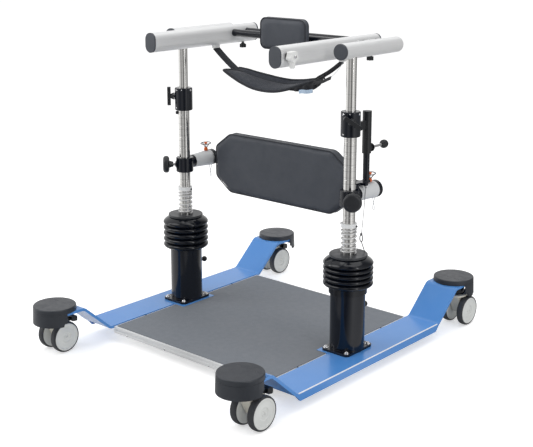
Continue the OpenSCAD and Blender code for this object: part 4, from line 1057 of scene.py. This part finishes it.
def add_lock_pins():
    """Orange quick-release pins, each with a flat ring on a steel yoke above it and a lanyard under the bracket."""
    for side, way in SIDES.items():
        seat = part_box(f"{side}_lock_pin")[0].z
        x, y, head, ring_z = way * COLUMN_X, PIN_Y, PIN_HEAD_Z, KEY_RING_Z
        body = f"{side}_lock_pin_body"
        corners = [(0.0, seat), (0.0024, seat), (0.003, seat + 0.001), (0.003, head - 0.002), (0.0066, head),
                   (0.0074, head + 0.002, 0.001), (0.0066, head + 0.006, 0.002), (0.0058, head + 0.010, 0.001),
                   (0.004, head + 0.0112, 0.0015), (0.0, head + 0.0112)]
        shank = placed(turned(line(corners), 28), (x, y, 0))
        tip = [(0.0, -0.003), (0.004, -0.003, 0.001), (0.0058, 0.001, 0.002), (0.0050, 0.0045, 0.002),
               (0.0, 0.0052)]
        top = placed(turned(line(tip), 28), (x, y, ring_z))
        piece(f"{side}_pin_body", merged(shank, top), ORANGE, body, [f"{side}_lock_pin"])
        hoop = [Vector((x + a, y + b, ring_z + 0.0015 * b / KEY_RING_R)) for a, b in circle(KEY_RING_R, 56)]
        section = [(0.0017 * a, 0.0023 * b) for a, b in circle(1, 10)]
        yoke = [(-0.0168, 0, ring_z), (-0.0100, 0, ring_z - 0.0075), (-0.0042, 0, head + 0.0118),
                (0.0042, 0, head + 0.0118), (0.0100, 0, ring_z - 0.0075), (0.0168, 0, ring_z)]
        arms = [along_points(yoke, k / 40) + Vector((x, y, 0)) for k in range(41)]
        stem = placed(turned([(0.0016, head + 0.010), (0.0016, ring_z)], 16), (x, y, 0))
        metal = merged(swept(hoop, section, UP, True), swept(arms, circle(0.0017, 8), (0, 1, 0)), stem)
        piece(f"{side}_key_ring", metal, DARK_STEEL, body)
        start = Vector((x, *LANYARD_EXIT))
        path = []
        for t in (k / 32 for k in range(33)):
            drop = LANYARD_DROP * math.sin(math.pi * t) ** 0.75
            path.append(start + Vector((0.0055 * math.sin(2 * math.pi * t), 0.012 * t, -drop)))
        add_cord(f"{side}_lanyard", path, 0.0009, (1, 0, 0), CORD, "knee_support")


def add_knob_details():
    """The guide's knob on its steel rod, and the bush and bolt of the cam lever."""
    guide = Vector((COLUMN_X, 0, GUIDE_Z))
    back = (0, 1, 0)
    rod = moved(sleeve(0.0046, 0.0975, 0.1700, back), guide)
    washer = moved(sleeve(0.0135, 0.1090, 0.1114, back), guide)
    piece("guide_rod", rod, BRIGHT, "guide_knob_body")
    piece("guide_washer", washer, KNOB, "guide_knob_body")
    corners = [(0.0, 0.1660), (0.0075, 0.1660, 0.001), (0.0090, 0.1690, 0.002), (0.0135, 0.1730, 0.003),
               (0.0140, 0.1840, 0.004), (0.0105, 0.1910, 0.004), (0.0, 0.1920)]
    grip = moved(placed(turned(line(corners), 40), (0, 0, 0), back), guide)
    piece("guide_grip", grip, KNOB, "guide_knob_body", ["guide_knob"])
    bush = moved(sleeve(0.0126, 0.0006, 0.0078, (1, 0, 0)), LEVER_PLACE)
    piece("cam_bush", bush, KNOB, "cam_lever_body")
    bolt = screw(LEVER_PLACE + Vector((0.0282, 0, 0)), (1, 0, 0), 0.010)
    piece("cam_bolt", bolt, BRIGHT, "cam_lever_body")


def add_tether():
    """A fine wire from the right clamp's ear to a snap hook, and a thin cord from there to the spring plate."""
    top, low = TETHER_TOP, TETHER_LOW
    places = [k / 40 for k in range(41)]
    path = [top.lerp(low, t) + Vector((0.0012 * math.sin(math.pi * t), 0, 0)) for t in places]
    wire = add_cord("tether_wire", path, 0.0009, (1, 0, 0), DARK_STEEL, None, ["tether"])
    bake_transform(wire)
    bow = [(0.0012, 0, 0), (0.0048, 0, -0.0050), (0.0048, 0, -0.0170), (0, 0, -0.0220), (-0.0048, 0, -0.0170),
           (-0.0048, 0, -0.0050), (-0.0012, 0, 0)]
    hook = [along_points(bow, k / 48) + low for k in range(49)]
    ferrule = moved(knurled(0.0032, 0.008, 8), low - UP * 0.002)
    piece("tether_hook", merged(swept(hook, circle(0.0016, 8), (0, 1, 0)), ferrule), DARK_STEEL, "right_column")
    eye = [(top.x + a, top.y, top.z - 0.0033 + b) for a, b in circle(0.004, 28)]
    piece("tether_eye", swept(eye, circle(0.0009, 8), (0, 1, 0), True), BRIGHT, "right_knee_carrier")
    rise = [TETHER_END.lerp(low - UP * 0.0205, k / 12) for k in range(13)]
    add_cord("tether_cord", rise, 0.0013, (1, 0, 0), BLACK_WEBBING, "right_column")


def add_small_marks():
    """Screws in the tray's front and back edges, stops on the right swivel, and the button under the left clamp."""
    low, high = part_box("platform_tray")
    z = (low.z + high.z) / 2 - 0.006
    heads = [screw((x, y, z), (0, way, 0), 0.006)
             for x in (-0.28, -0.10, 0.10, 0.28) for y, way in ((low.y + 0.0002, -1), (high.y - 0.0002, 1))]
    piece("tray_screws", merged(*heads), BRIGHT, "base")
    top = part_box("right_swivel_sleeve")[1].z
    bump = turned(line([(0.0, 0.0032), (0.003, 0.0032, 0.0012), (0.0042, -0.002)]), 20)
    bumps = [placed(bump, (COLUMN_X, y, top)) for y in (0.032, 0.089)]
    piece("swivel_stops", merged(*bumps), RAIL_ALUMINIUM, "right_mast_body")
    button = turned(line([(0.0, 0.010), (0.0045, 0.010, 0.002), (0.006, 0.006, 0.001), (0.006, 0.0)]), 24)
    at = Vector((-COLUMN_X, 0, BUTTON_Z)) + BUTTON_FACE * 0.0192
    piece("left_index_button", placed(button, at, BUTTON_FACE), KNOB, "left_column")


# Run

add_camera()
add_world()
add_lamp("key", (-1.6, -2.6, 3.4), (0, 0, 0.5), size=2.6, energy=34)
add_lamp("top", (0.4, 0.6, 3.8), (0, 0, 0.4), size=3.4, energy=40)
add_lamp("right", (3.4, -0.5, 1.7), (0, 0, 0.6), size=0.3, energy=14, height=2.2)
add_lamp("left", (-2.9, -1.9, 1.8), (0, 0, 0.6), size=0.3, energy=12, height=2.2)
add_floor()
dress_nodes()
add_wheels()
add_bellows()
add_springs()
add_pad("knee_pad", "knee_support", cut_x=0.067, cut_z=0.050, round_by=0.012)
add_pad("chest_pad", "bridge", cut_x=0.013, cut_z=0.013, round_by=0.010)
add_sling()
add_flange_screws()
add_clamp_hardware()
add_cones()
add_lock_pins()
add_knob_details()
add_tether()
add_small_marks()
